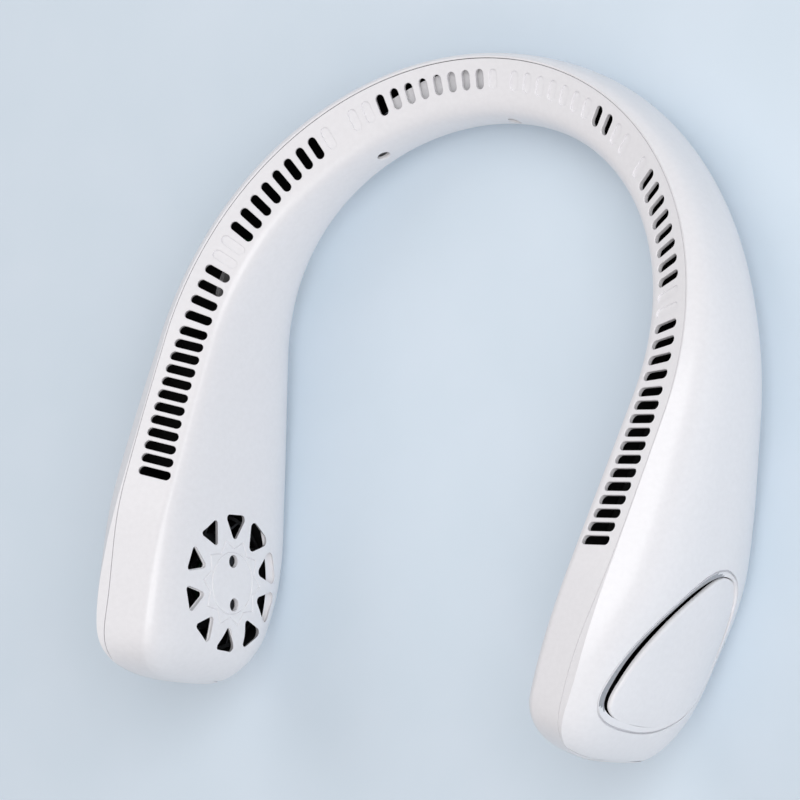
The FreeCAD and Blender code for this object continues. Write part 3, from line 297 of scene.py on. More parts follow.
def grid_faces(rows: int, columns: int, closed: bool = False) -> list[tuple[int, int, int, int]]:
    """Number the quads of a grid of points.

    Args:
        rows: Rows of points.
        columns: Points in a row.
        closed: Whether each row is a ring.

    Returns:
        Four vertex numbers for each quad.
    """
    faces = []
    for r in range(rows - 1):
        for c in range(columns if closed else columns - 1):
            d = (c + 1) % columns
            faces.append((r * columns + c, r * columns + d, (r + 1) * columns + d, (r + 1) * columns + c))
    return faces


def weld(obj: bpy.types.Object) -> None:
    """Join coincident points and drop faces with no area.

    Args:
        obj: A mesh object.
    """
    shape = bmesh.new()
    shape.from_mesh(obj.data)
    bmesh.ops.remove_doubles(shape, verts=shape.verts, dist=SAME_POINT_M)
    bmesh.ops.dissolve_degenerate(shape, edges=shape.edges, dist=NO_AREA_M)
    shape.to_mesh(obj.data)
    shape.free()


def settle(obj: bpy.types.Object, sharp_deg: float = 32.0) -> None:
    """Apply an object's modifiers and mark its sharp edges.

    Args:
        obj: A mesh object.
        sharp_deg: Edges that turn more than this are drawn sharp.
    """
    graph = bpy.context.evaluated_depsgraph_get()
    mesh = bpy.data.meshes.new_from_object(obj.evaluated_get(graph))
    obj.modifiers.clear()
    obj.data = mesh
    mesh.polygons.foreach_set("use_smooth", [True] * len(mesh.polygons))
    mesh.set_sharp_from_angle(angle=math.radians(sharp_deg))


def thicken(obj: bpy.types.Object, wall: float, offset: float = -1.0, inside: int = 0,
            rim: int = 0) -> None:
    """Give a surface a wall.

    Args:
        obj: A mesh object.
        wall: Thickness in millimetres.
        offset: -1 for a wall behind the surface, 1 for one in front of it.
        inside: Material slot of the far side, counted on from the surface's own.
        rim: The same for the edges.
    """
    modifier = obj.modifiers.new("wall", "SOLIDIFY")
    modifier.thickness = wall * MM
    modifier.offset = offset
    modifier.material_offset = inside
    modifier.material_offset_rim = rim


def rounded(core: list[tuple[float, float]], radius: float, steps: int = 8) -> list[tuple[float, float]]:
    """The outline at a distance round a convex core.

    Args:
        core: One, two or more corners, counterclockwise.
        radius: Distance from the core to the outline.
        steps: Points on each corner's arc.

    Returns:
        Points of the outline, counterclockwise.
    """
    count = len(core)
    if count == 1:
        angles = np.linspace(0, 2 * math.pi, 4 * steps, endpoint=False)
        return [(core[0][0] + radius * math.cos(a), core[0][1] + radius * math.sin(a)) for a in angles]
    outline = []
    for i, (x, y) in enumerate(core):
        before, after = core[i - 1], core[(i + 1) % count]
        start = math.atan2(y - before[1], x - before[0]) - math.pi / 2
        finish = math.atan2(after[1] - y, after[0] - x) - math.pi / 2
        while finish < start:
            finish += 2 * math.pi
        for k in range(steps + 1):
            a = start + (finish - start) * k / steps
            outline.append((x + radius * math.cos(a), y + radius * math.sin(a)))
    return outline


def curve_weights(gaps: np.ndarray, samples: np.ndarray, closed: bool) -> tuple[np.ndarray, np.ndarray]:
    """How points of a cubic curve follow the points that it goes through.

    Args:
        gaps: Distances between the given points, in order.
        samples: Distances from the first one at which the curve is wanted.
        closed: Whether the last gap leads back to the first point.

    Returns:
        One row of weights for each sample, and each sample's place among the given points.
    """
    count = len(gaps) if closed else len(gaps) + 1
    one = np.eye(count)
    bend = np.zeros((count, count)) if closed else np.eye(count)
    turn = np.zeros((count, count))
    for i in range(count) if closed else range(1, count - 1):
        before, after = gaps[i - 1], gaps[i]
        near = [i - 1, i, (i + 1) % count]
        bend[i, near] = before, 2 * (before + after), after
        turn[i, near] = 6 / before, -6 / before - 6 / after, 6 / after
    second = np.linalg.solve(bend, turn)
    knots = np.concatenate(([0.0], np.cumsum(gaps)))
    span = np.clip(np.searchsorted(knots, samples, side="right") - 1, 0, len(gaps) - 1)
    following = (span + 1) % count
    share = (samples - knots[span]) / gaps[span]
    right, left = share[:, None], 1 - share[:, None]
    curved = (left**3 - left) * second[span] + (right**3 - right) * second[following]
    weights = left * one[span] + right * one[following] + curved * (gaps[span] ** 2 / 6)[:, None]
    return weights, span + share


def closed_curve(points: np.ndarray, count: int) -> tuple[np.ndarray, np.ndarray]:
    """A smooth closed curve through points.

    Args:
        points: Points, one row each.
        count: How many points of the curve are wanted.

    Returns:
        Points of a cubic curve, even along its chords, and the place of each among the given points.
    """
    chords = np.linalg.norm(np.roll(points, -1, axis=0) - points, axis=1)
    where = np.linspace(0.0, chords.sum(), count, endpoint=False)
    weights, index = curve_weights(chords, where, closed=True)
    return weights @ points, index


def eased(values: tuple, index: np.ndarray, reach: int = 10) -> np.ndarray:
    """Values between given ones, smoothed round a closed curve.

    Args:
        values: The given values.
        index: Places among them.
        reach: How many neighbours on each side a value is smoothed with.

    Returns:
        The value at each place.
    """
    given = np.array(values)
    first = index.astype(int) % len(given)
    share = index - index.astype(int)
    plain = given[first] * (1 - share) + given[(first + 1) % len(given)] * share
    weights = np.hanning(2 * reach + 3)[1:-1]
    around = np.concatenate((plain[-reach:], plain, plain[:reach]))
    return np.convolve(around, weights / weights.sum(), mode="valid")


@dataclass
class Cutter:
    """A set of closed prisms that are cut out of a shell together."""

    vertices: list = field(default_factory=list)
    faces: list = field(default_factory=list)
    tinted: set = field(default_factory=set)

    def add_rings(self, rings: list[np.ndarray], tinted: frozenset = frozenset()) -> None:
        """Add a closed prism through rings of equal length, in order from outside to inside.

        Args:
            rings: Points of each ring, one row each.
            tinted: Numbers of the wall faces that take the second material.
        """
        base = len(self.vertices)
        count = len(rings[0])
        for ring in rings:
            self.vertices.extend(ring.tolist())
        for number, face in enumerate(grid_faces(len(rings), count, closed=True)):
            if number in tinted:
                self.tinted.add(len(self.faces))
            self.faces.append(tuple(base + i for i in face))
        for ring, step in ((0, 1), (len(rings) - 1, -1)):
            self.vertices.append(rings[ring].mean(axis=0).tolist())
            hub = len(self.vertices) - 1
            for c in range(count):
                pair = (base + ring * count + c, base + ring * count + (c + 1) % count)
                self.faces.append((hub, *pair[::-step]))

    def add_hole(self, place: "Place", core: list[tuple[float, float]], radius: float, depth: float,
                 chamfer: float, lift: float = 1.0, draft: float = 0.0) -> None:
        """Add a hole with a chamfered mouth.

        Args:
            place: Its mouth, with Z out of the surface.
            core: Core of the hole's outline.
            radius: Distance from the core to the wall.
            depth: How deep it goes.
            chamfer: Width and depth of the chamfer.
            lift: How far the cutter stands out of the surface.
            draft: How much it widens for each millimetre of its depth.
        """
        rings = []
        widest = draft * (depth - chamfer)
        for height, extra in ((lift, chamfer), (0.0, chamfer), (-chamfer, 0.0), (-depth, widest)):
            flat = rounded(core, radius + extra)
            rings.append(np.array([place.point(x, y, height) for x, y in flat]))
        self.add_rings(rings)

    def add_line(self, place: "Place", skin: "Skin", path: list[tuple[float, float]], width: float,
                 depth: float) -> None:
        """Add a closed moulded line, as a V groove along the surface.

        Args:
            place: Where the path lies, with Z out of the surface.
            skin: The outside of the shell.
            path: Points of the path in that place.
            width: Width of the groove.
            depth: Its depth.
        """
        flat = np.array(path)
        before, after = flat - np.roll(flat, 1, axis=0), np.roll(flat, -1, axis=0) - flat
        before /= np.linalg.norm(before, axis=1)[:, None]
        after /= np.linalg.norm(after, axis=1)[:, None]
        mean = before + after
        mean /= np.linalg.norm(mean, axis=1)[:, None]
        across = np.column_stack((-mean[:, 1], mean[:, 0]))
        across *= (width / (before * mean).sum(axis=1))[:, None]
        base, count = len(self.vertices), len(path)
        for (x, y), (a, b) in zip(flat, across):
            middle = skin.land(place.shifted(x, y))
            for spot in ((a, b, depth), (-a, -b, depth), (0.0, 0.0, -depth)):
                self.vertices.append(middle.point(*spot).tolist())
        for face in grid_faces(count + 1, 3, closed=True):
            self.faces.append(tuple(base + i % (3 * count) for i in face))

    def cut_from(self, obj: bpy.types.Object, name: str, materials: list[bpy.types.Material]) -> None:
        """Cut the prisms out of a shell.

        Args:
            obj: The shell.
            name: A name for the cutter while it works.
            materials: The material of the cut walls, and that of the tinted ones.
        """
        tool = new_object(name, np.array(self.vertices), self.faces, materials)
        for number in self.tinted:
            tool.data.polygons[number].material_index = 1
        shape = bmesh.new()
        shape.from_mesh(tool.data)
        bmesh.ops.recalc_face_normals(shape, faces=shape.faces)
        shape.to_mesh(tool.data)
        shape.free()
        cut = obj.modifiers.new(name, "BOOLEAN")
        cut.operation = "DIFFERENCE"
        cut.solver = "EXACT"
        cut.material_mode = "TRANSFER"
        cut.object = tool
        settle(obj)
        mesh = tool.data
        bpy.data.objects.remove(tool)
        bpy.data.meshes.remove(mesh)


@dataclass(frozen=True)
class Place:
    """A point with its own X, Y and Z directions."""

    origin: np.ndarray
    x_axis: np.ndarray
    y_axis: np.ndarray
    z_axis: np.ndarray

    @classmethod
    def facing(cls, origin: np.ndarray, x_hint: np.ndarray, z_hint: np.ndarray) -> "Place":
        """Make a place from its Z direction and a rough X direction.

        Args:
            origin: Its point.
            x_hint: A direction near its X.
            z_hint: Its Z direction, of any length.

        Returns:
            The place, with right-handed unit directions.
        """
        z_axis = z_hint / np.linalg.norm(z_hint)
        y_axis = np.cross(z_axis, x_hint)
        y_axis = y_axis / np.linalg.norm(y_axis)
        return cls(origin, np.cross(y_axis, z_axis), y_axis, z_axis)

    def point(self, x: float, y: float, z: float = 0.0) -> np.ndarray:
        """The point of the shared frame at a spot in this place."""
        return self.origin + x * self.x_axis + y * self.y_axis + z * self.z_axis

    def shifted(self, x: float, y: float, z: float = 0.0) -> "Place":
        """The same directions at another spot."""
        return Place(self.point(x, y, z), self.x_axis, self.y_axis, self.z_axis)

    def turned(self) -> "Place":
        """The same spot facing the other way, with its Y kept."""
        return Place(self.origin, -self.x_axis, self.y_axis, -self.z_axis)


@dataclass
class Skin:
    """The outside of a shell, found along lines."""

    tree: BVHTree
    far: float = 36.0

    @classmethod
    def of(cls, shell: bpy.types.Object) -> "Skin":
        """The outside of a shell that has no openings yet."""
        mesh = shell.data
        faces = [tuple(p.vertices) for p in mesh.polygons]
        return cls(BVHTree.FromPolygons([v.co for v in mesh.vertices], faces))

    def distance(self, start: np.ndarray, direction: np.ndarray) -> float:
        """How far the outside lies from a point.

        Args:
            start: The point, in millimetres.
            direction: The unit direction to look in.

        Returns:
            The distance in millimetres.
        """
        run = self.tree.ray_cast(Vector(start * MM), Vector(direction))[3]
        if run is None:
            raise ValueError(f"no surface from {start} along {direction}")
        return run / MM

    def land(self, place: Place) -> Place:
        """The same place moved along its Z onto the outside."""
        run = self.distance(place.point(0.0, 0.0, self.far), -place.z_axis)
        return place.shifted(0.0, 0.0, self.far - run)


# The collar


@dataclass(frozen=True)
class CollarForm:
    """The path of the collar and its section at any station."""

    arch_radius: float = 79.0
    toe_deg: float = 4.0
    arm_run: float = 96.1
    slot_height: float = 20.6
    slot_tilt_deg: float = 17.0
    stations: tuple = (0.0, 98.0, 170.0, 204.0)
    inner_reach: tuple = (11.0, 8.9, 9.9, 11.8)
    outer_reach: tuple = (8.0, 13.0, 20.6, 16.6)
    under_rise: tuple = (0.0, 6.4, 0.0, 0.0)
    slot_half: tuple = (2.8, 4.1, 5.2, 5.2)
    strip_slope_deg: tuple = (10.0, 15.0, 15.0, 15.0)
    rest_land: float = 0.35
    level_station: float = 174.0
    level_length: float = 42.0
    end_top: float = 17.6
    end_bottom: float = 45.0
    end_outer: float = 27.0
    end_neck: float = 16.0
    end_top_power: float = 2.9
    end_power: float = 1.8
    end_middle: float = 0.38
    rail: tuple = (2.9, 2.9, 2.9, 0.3)
    rail_width: float = 2.9
    edge_width: float = 0.7
    lip_width: float = 0.8
    neck_curve: tuple = ((0.30, 0.022), (0.66, 0.09), (0.90, 0.23))
    belly_curve: tuple = ((0.0, 0.34), (0.07, 0.15), (0.28, 0.025), (0.52, 0.0), (0.80, 0.085), (0.955, 0.27),
                          (1.0, 0.54))
    shoulder_curve: tuple = ((0.90, 0.22), (0.52, 0.075))
    curve_points: int = 420
    strip_points: int = 60

    @property
    def arc_length(self) -> float:
        """Length of the arch's half, from its top to where an arm starts."""
        return self.arch_radius * (math.pi / 2 + math.radians(self.toe_deg))

    @property
    def length(self) -> float:
        """Station of the tip of an arm."""
        return self.arc_length + self.arm_run

    @property
    def arch_y(self) -> float:
        """Y of the arch's centre."""
        toe = math.radians(self.toe_deg)
        depth = self.arch_radius * math.sin(toe) + self.arm_run * math.cos(toe)
        return 0.5 * (depth - self.arch_radius - self.outer_reach[0])

    @property
    def climb(self) -> float:
        """Rise of the slot line for each millimetre towards the ends."""
        return math.tan(math.radians(self.slot_tilt_deg))

    def along(self, values: tuple, station: float) -> float:
        """A size at a station.

        Args:
            values: The size at the four named stations.
            station: Where it is wanted.

        Returns:
            The size on a smooth curve through its values.
        """
        last = len(self.stations) - 1
        where = min(abs(station), self.stations[last])
        k = max(i for i in range(last) if self.stations[i] <= where)
        gap = self.stations[k + 1] - self.stations[k]

        def slope(i: int) -> float:
            """Slope of the curve at a named station."""
            if i in (0, last):
                return 0.0
            return (values[i + 1] - values[i - 1]) / (self.stations[i + 1] - self.stations[i - 1])

        t = (where - self.stations[k]) / gap
        return ((2 * t**3 - 3 * t**2 + 1) * values[k] + (t**3 - 2 * t**2 + t) * gap * slope(k)
                + (3 * t**2 - 2 * t**3) * values[k + 1] + (t**3 - t**2) * gap * slope(k + 1))

    def at(self, station: float) -> tuple[np.ndarray, np.ndarray, np.ndarray]:
        """The path at a station.

        Args:
            station: The station, negative on the left.

        Returns:
            The point in plan, the outward direction and the direction towards the tip.
        """
        side = 1 if station >= 0 else -1
        angle = min(abs(station), self.arc_length) / self.arch_radius
        outward = np.array((side * math.sin(angle), math.cos(angle), 0.0))
        tangent = np.array((side * math.cos(angle), -math.sin(angle), 0.0))
        run = max(abs(station) - self.arc_length, 0.0)
        point = np.array((0.0, self.arch_y, 0.0)) + outward * self.arch_radius + tangent * run
        return point, outward, tangent

    def slot_line(self, station: float) -> float:
        """Height of the slot line, which rises along the arms and levels out in the ends.

        Args:
            station: The station.

        Returns:
            The height above the floor.
        """
        past = max(abs(station) - self.level_station, 0.0)
        run = min(past, self.level_length)
        climbed = abs(station) - past + run - run**2 / (2 * self.level_length)
        return self.slot_height + self.climb * (self.arch_y + self.arch_radius - self.at(climbed)[0][1])

    def corners(self, station: float) -> np.ndarray:
        """Corners of the section before the tip is rounded.

        Args:
            station: The station.

        Returns:
            Reach and height of each corner, from the lip round to the outer edge of the strip.
        """
        slope = math.tan(math.radians(self.along(self.strip_slope_deg, station)))
        half = self.along(self.slot_half, station)
        strip = self.slot_line(station)
        inner = -self.along(self.inner_reach, station)
        outer = self.along(self.outer_reach, station)
        bottom = self.along(self.under_rise, station) - self.rest_land
        lip = -half - self.lip_width
        edge = half + self.rail_width + self.edge_width
        lip_height = strip + lip * slope
        edge_height = strip + edge * slope
        tall = edge_height - bottom
        found = [(lip, lip_height)]
        found += [(lip + a * (inner - lip), lip_height - b * tall) for a, b in self.neck_curve]
        found += [(inner + a * (outer - inner), bottom + b * tall) for a, b in self.belly_curve]
        found += [(edge + a * (outer - edge), edge_height - b * tall) for a, b in self.shoulder_curve]
        return np.array(found + [(edge, edge_height)])

    def rounding(self, station: float, span: float, power: float) -> float:
        """What the rounding of a tip leaves of a distance.

        Args:
            station: The station.
            span: Length of the rounding.
            power: Its squareness.

        Returns:
            1 before the rounding, down to 0 at the tip.
        """
        share = min(max(abs(station) - (self.length - span), 0.0) / span, 1.0)
        return (1.0 - share**power) ** (1.0 / power)

    def rounded_corners(self, station: float) -> np.ndarray:
        """Corners of the section with the tip of the arm rounded.

        Args:
            station: The station.

        Returns:
            Reach and height of each corner.
        """
        found = self.corners(station)
        reach, height = found[:, 0], found[:, 1]
        centre = 0.5 * (reach.min() + reach.max())
        middle = height.min() + self.end_middle * (height.max() - height.min())
        outer = self.rounding(station, self.end_outer, self.end_power)
        neck = self.rounding(station, self.end_neck, self.end_power)
        top = self.rounding(station, self.end_top, self.end_top_power)
        bottom = self.rounding(station, self.end_bottom, self.end_power)
        return np.column_stack((centre + (reach - centre) * np.where(reach > centre, outer, neck),
                                middle + (height - middle) * np.where(height > middle, top, bottom)))

    def weights(self) -> np.ndarray:
        """How each point of the section's curve follows its corners.

        Returns:
            One row for each point of a natural cubic curve, one column for each corner.
        """
        gaps = []
        for station in self.stations:
            steps = np.linalg.norm(np.diff(self.corners(station), axis=0), axis=1)
            gaps.append(steps / steps.sum())
        samples = np.linspace(0.0, 1.0, self.curve_points)
        return curve_weights(np.mean(gaps, axis=0), samples, closed=False)[0]

    def outline(self, station: float, weights: np.ndarray) -> np.ndarray:
        """The closed outline at a station.

        Args:
            station: The station.
            weights: What weights() gives.

        Returns:
            Reach and height of points from the lip round the body to the strip's edge, and back along the
            strip.
        """
        corners = self.rounded_corners(station)
        curve = weights @ corners
        back = np.linspace(1.0, 0.0, self.strip_points)[1:, None]
        return np.vstack((curve, corners[0] + (corners[-1] - corners[0]) * back))

    def row_stations(self, step: float, tip_rows: int) -> list[float]:
        """Stations of the mesh rows from the left tip to the right tip.

        Args:
            step: Spacing of the rows.
            tip_rows: Rows in each rounded tip.

        Returns:
            The stations, closer together towards the tips.
        """
        start = self.length - self.end_bottom
        body = np.linspace(0.0, start, math.ceil(start / step) + 1)
        tip = start + self.end_bottom * np.sin(np.linspace(0.0, math.pi / 2, tip_rows + 1))[1:]
        right = body.tolist() + tip.tolist()
        return [-s for s in reversed(right[1:])] + right

    def seam_reach(self, station: float) -> float:
        """Reach of the seam between the two shells."""
        return self.along(self.slot_half, station) + self.along(self.rail, station)

    def strip_place(self, station: float) -> Place:
        """A place on the slot strip, with X across it and Z out of it."""
        point, outward, tangent = self.at(station)
        slope = math.tan(math.radians(self.along(self.strip_slope_deg, station)))
        across = outward + UP * slope
        normal = np.cross(across, tangent - UP * (self.climb * tangent[1]))
        normal = normal if normal[2] > 0 else -normal
        return Place.facing(point + UP * self.slot_line(station), across, normal)

    def side_place(self, station: float, height: float) -> Place:
        """A place on the slot line's upright, with Z outwards and Y up."""
        point, outward, _ = self.at(station)
        return Place.facing(point + UP * height, np.cross(UP, outward), outward)

    def blower_place(self, side: int) -> Place:
        """The blower axis: origin on the neck face, Z outwards, Y up."""
        point, outward, _ = self.at(side * BLOWER.station)
        tilt = math.radians(BLOWER.tilt_deg)
        origin = point - outward * self.along(self.inner_reach, BLOWER.station) + UP * BLOWER.height
        z_axis = outward * math.cos(tilt) - UP * math.sin(tilt)
        y_axis = outward * math.sin(tilt) + UP * math.cos(tilt)
        return Place.facing(origin, np.cross(y_axis, z_axis), z_axis)


@dataclass(frozen=True)
class BlowerForm:
    """Where a blower sits in its arm."""

    station: float = 196.2
    height: float = 33.5
    tilt_deg: float = 6.5


FORM = CollarForm()
BLOWER = BlowerForm()


@dataclass
class Shells:
    """The two white shells of the collar, split along the seam."""

    palette: Palette
    row_step: float = 1.6
    tip_rows: int = 40
    strip_columns: int = 14
    neck_columns: int = 84
    back_columns: int = 72
    edge_columns: int = 4
    wall: float = 1.6
    seam_gap: float = 0.2

    def profile(self, outline: np.ndarray, seam: float, outer: bool) -> np.ndarray:
        """One shell's part of a section.

        Args:
            outline: The closed outline.
            seam: Reach of the seam for that shell.
            outer: Whether the outer shell is wanted.

        Returns:
            Reach and height of the shell's columns.
        """
        reach = outline[:, 0]
        length = np.concatenate(([0.0], np.cumsum(np.linalg.norm(np.diff(outline, axis=0), axis=1))))
        edge = length[FORM.curve_points - 1]
        low, high = int(reach.argmin()), int(reach[:FORM.curve_points].argmax())
        if seam >= reach[high]:
            under = over = length[high]
        else:
            under = np.interp(seam, reach[low:high + 1], length[low:high + 1])
            over = np.interp(-seam, -reach[high:], length[high:])
        if outer:
            corner = min(edge, over)
            where = np.concatenate((np.linspace(under, corner, self.back_columns),
                                    np.linspace(corner, over, self.edge_columns + 1)[1:]))
        else:
            where = np.concatenate((np.linspace(over, length[-1], self.strip_columns),
                                    np.linspace(0.0, under, self.neck_columns)[1:]))
        return np.column_stack([np.interp(where, length, outline[:, axis]) for axis in (0, 1)])

    def skin(self, outer: bool) -> tuple[np.ndarray, int, int]:
        """The outside surface of a shell.

        Args:
            outer: Whether the outer shell is wanted.

        Returns:
            Its points row by row, the number of rows and the points in a row.
        """
        weights = FORM.weights()
        rows = []
        for station in FORM.row_stations(self.row_step, self.tip_rows):
            seam = FORM.seam_reach(station) + (self.seam_gap if outer else 0.0)
            columns = self.profile(FORM.outline(station, weights), seam, outer)
            point, outward, _ = FORM.at(station)
            row = point + columns[:, :1] * outward + columns[:, 1:] * UP
            row[:, 2] = np.maximum(row[:, 2], 0.0)
            rows.append(row)
        return np.vstack(rows), len(rows), len(rows[0])

    def build(self, outer: bool) -> bpy.types.Object:
        """Make one shell as a wall of its real thickness, white outside and dark inside.

        Args:
            outer: Whether the outer shell is wanted.

        Returns:
            The shell, with no openings yet.
        """
        points, rows, columns = self.skin(outer)
        name = "shell_outer" if outer else "shell_neck_side"
        white, black = self.palette.get(WHITE_ABS), self.palette.get(BLACK_ABS_AND_PAINTED_SHADE)
        shell = new_object(name, points, grid_faces(rows, columns), [white, black])
        weld(shell)
        # The black inside of the wall is painted shade, so the slots stay dark.
        thicken(shell, self.wall, inside=1)
        return shell


@dataclass
class Slots:
    """The air slots along the top of the collar, some of them blind."""

    marks: tuple = ((1, 166.7), (12, 126.0), (26, 63.8), (39, 3.65))
    width: float = 2.6
    blind_depth: float = 0.45
    blind_chamfer: float = 0.1
    through: float = 2.3
    draft: float = 0.22
    chamfer: float = 0.18
    lean_deg: tuple = (0.0, 9.5, 9.5, 9.5)
    bow: float = 0.9
    open_both: frozenset = frozenset(range(1, 17)) | frozenset(range(19, 27)) | frozenset((31, 32))
    open_left: frozenset = frozenset(range(33, 39))
    missing: frozenset = frozenset((28,))

    def stations(self) -> dict[int, float]:
        """Stations of the slots by number, 1 at the end of the arm, even between the marked ones."""
        found = {}
        for (first, start), (last, finish) in zip(self.marks, self.marks[1:]):
            for number in range(first, last + 1):
                found[number] = start + (finish - start) * (number - first) / (last - first)
        return found

    def place(self, station: float) -> Place:
        """The mouth of a slot, which leans with its neck end towards the tip of the arm.

        Args:
            station: The slot's station.

        Returns:
            A place with X along the slot and Z out of the strip.
        """
        (_, finish), (_, start) = self.marks[:2]
        share = min(max((abs(station) - start) / (finish - start), 0.0), 1.0)
        lean = math.copysign(math.radians(FORM.along(self.lean_deg, station)), station)
        strip = FORM.strip_place(station).shifted(self.bow * math.sin(math.pi * share), 0.0)
        along = math.cos(lean) * strip.x_axis + math.sin(lean) * strip.y_axis
        return Place.facing(strip.origin, along, strip.z_axis)

    def add_to(self, cutter: Cutter) -> None:
        """Add every slot to a cutter.

        Args:
            cutter: The neck-side shell's cutter.
        """
        for number, station in self.stations().items():
            if number in self.missing:
                continue
            reach = FORM.along(FORM.slot_half, station) - 0.5 * self.width
            for side in SIDES.values():
                is_open = number in self.open_both or (side < 0 and number in self.open_left)
                sizes = (self.through, self.chamfer) if is_open else (self.blind_depth, self.blind_chamfer)
                cutter.add_hole(self.place(side * station), [(-reach, 0.0), (reach, 0.0)], 0.5 * self.width,
                                *sizes, draft=self.draft if is_open else 0.0)


@dataclass
class Liner:
    """The ledge under the left slots of the arch, which lets only a little of the dark duct show."""

    palette: Palette
    stations: tuple = (-38.3, -31.4, -26.8, -22.2, -12.0, -5.5)
    far_edge: tuple = (0.7, 1.7, 2.4, 2.8, 3.2, 3.2)
    near_edge: float = -3.3
    top: float = 1.5
    depth: float = 2.6
    wall: float = 0.6
    rows: int = 30

    def build(self) -> bpy.types.Object:
        """Make the ledge, hung from the wall beside the slots.

        Returns:
            The ledge, white all over.
        """
        points = []
        for station in np.linspace(self.stations[0], self.stations[-1], self.rows):
            place = FORM.strip_place(station)
            far = np.interp(station, self.stations, self.far_edge)
            for x, z in ((self.near_edge, -self.top), (self.near_edge, -self.depth), (far, -self.depth)):
                points.append(place.point(x, 0.0, z))
        white = self.palette.get(WHITE_ABS)
        ledge = new_object("arch_liner", np.array(points), grid_faces(self.rows, 3), [white])
        thicken(ledge, self.wall, offset=1.0)
        settle(ledge)
        return ledge


@dataclass
class Grilles:
    """The grille in the neck face of each end, with its moulded lines round the motor."""

    outer: float = 19.0
    inner: float = 12.0
    half: float = 4.0
    corner: float = 0.8
    count: int = 10
    turn_deg: float = 2.0
    chamfer: float = 0.18
    through: float = 4.5
    draft: float = 0.42
    screw_offset: float = 6.2
    screw_turn_deg: float = 11.0
    screw_hole: float = 1.85
    screw_chamfer: float = 0.1
    lift: float = 2.0
    disc_radius: float = 8.8
    circle_points: int = 96
    star_valley: float = 9.8
    star_peak: float = 12.4
    line_width: float = 0.42
    line_depth: float = 0.28

    def triangle(self) -> np.ndarray:
        """The core of an opening, which its corner radius goes round.

        Returns:
            Three corners, out along X from the blower axis.
        """
        tips = np.array(((self.inner, 0.0), (self.outer, -self.half), (self.outer, self.half)))
        sides = [np.linalg.norm(tips[(i + 1) % 3] - tips[(i + 2) % 3]) for i in range(3)]
        centre = sum(s * t for s, t in zip(sides, tips)) / sum(sides)
        inscribed = (self.outer - self.inner) * 2 * self.half / sum(sides)
        return centre + (tips - centre) * (1 - self.corner / inscribed)

    def lines(self, start: float) -> list[list[tuple[float, float]]]:
        """The moulded lines: a circle round the motor and a star between the openings.

        Args:
            start: Turn of the first opening, in radians.

        Returns:
            The closed paths, each as points round the blower axis.
        """
        step = 2 * math.pi / self.circle_points
        circle = [(self.disc_radius, start + step * i) for i in range(self.circle_points)]
        star = []
        for index in range(2 * self.count):
            radius = self.star_peak if index % 2 else self.star_valley
            star.append((radius, start + math.pi * index / self.count))
        return [[(r * math.cos(a), r * math.sin(a)) for r, a in path] for path in (circle, star)]

    def add_to(self, cutter: Cutter, skin: Skin) -> None:
        """Add the rounded triangles, screw holes and moulded lines of both ends to a cutter.

        Args:
            cutter: The neck-side shell's cutter.
            skin: The outside of the neck-side shell.
        """
        core = self.triangle()
        for side in SIDES.values():
            into = FORM.blower_place(side).turned()
            start = side * math.radians(self.turn_deg)
            for index in range(self.count):
                turn = start + 2 * math.pi * index / self.count
                c, s = math.cos(turn), math.sin(turn)
                spun = [(x * c - y * s, x * s + y * c) for x, y in core]
                cutter.add_hole(into, spun, self.corner, self.through, self.chamfer, self.lift, self.draft)
            tilt = math.radians(self.screw_turn_deg)
            near_end = (side * self.screw_offset * math.cos(tilt), -self.screw_offset * math.sin(tilt))
            for spot in ((-side * self.screw_offset, 0.0), near_end):
                cutter.add_hole(into, [spot], self.screw_hole, self.through, self.screw_chamfer, self.lift)
            for path in self.lines(start):
                cutter.add_line(into, skin, path, self.line_width, self.line_depth)


@dataclass
class Fittings:
    """The small openings: arch screws, charging socket, power button and light guide."""

    arch_screws: tuple = ((-51.5, 15.9), (0.0, 13.0), (51.5, 15.9))
    screw_hole: float = 1.85
    board_station: float = -112.0
    board_height: float = 18.0
    socket_across: float = -4.0
    socket_reach: float = 4.2
    socket_size: tuple = (9.4, 3.6)
    socket_corner: float = 0.6
    button_height: float = 19.5
    button_size: tuple = (11.4, 6.4)
    light_offset: float = 9.6
    light_size: tuple = (5.2, 1.8)
    depth: float = 4.0
    chamfer: float = 0.2
    lift: float = 2.0

    def stadium(self, size: tuple) -> tuple[list[tuple[float, float]], float]:
        """Core and radius of a round-ended opening.

        Args:
            size: Its length and width.

        Returns:
            The two ends of its core and its radius.
        """
        radius = 0.5 * size[1]
        reach = 0.5 * size[0] - radius
        return [(-reach, 0.0), (reach, 0.0)], radius

    def add_neck_side(self, cutter: Cutter, skin: Skin) -> None:
        """Add the arch screws' holes and the socket's opening.

        Args:
            cutter: The neck-side shell's cutter.
            skin: The outside of the neck-side shell.
        """
        for station, height in self.arch_screws:
            mouth = skin.land(FORM.side_place(station, height).turned())
            cutter.add_hole(mouth, [(0.0, 0.0)], self.screw_hole, self.depth, self.chamfer, self.lift)
        board = FORM.side_place(self.board_station, self.board_height)
        spot = board.point(self.socket_across, 0.0, self.socket_reach)
        mouth = skin.land(Place.facing(spot, board.x_axis, -UP))
        x, y = (0.5 * length - self.socket_corner for length in self.socket_size)
        core = [(-x, -y), (x, -y), (x, y), (-x, y)]
        cutter.add_hole(mouth, core, self.socket_corner, self.depth, self.chamfer)

    def add_outer(self, cutter: Cutter, skin: Skin) -> None:
        """Add the openings of the power button and the light guide.

        Args:
            cutter: The outer shell's cutter.
            skin: The outside of the outer shell.
        """
        button = FORM.side_place(self.board_station, self.button_height)
        light = button.shifted(self.light_offset, 0.0)
        for place, size in ((button, self.button_size), (light, self.light_size)):
            core, radius = self.stadium(size)
            cutter.add_hole(skin.land(place), core, radius, self.depth, self.chamfer, self.lift)


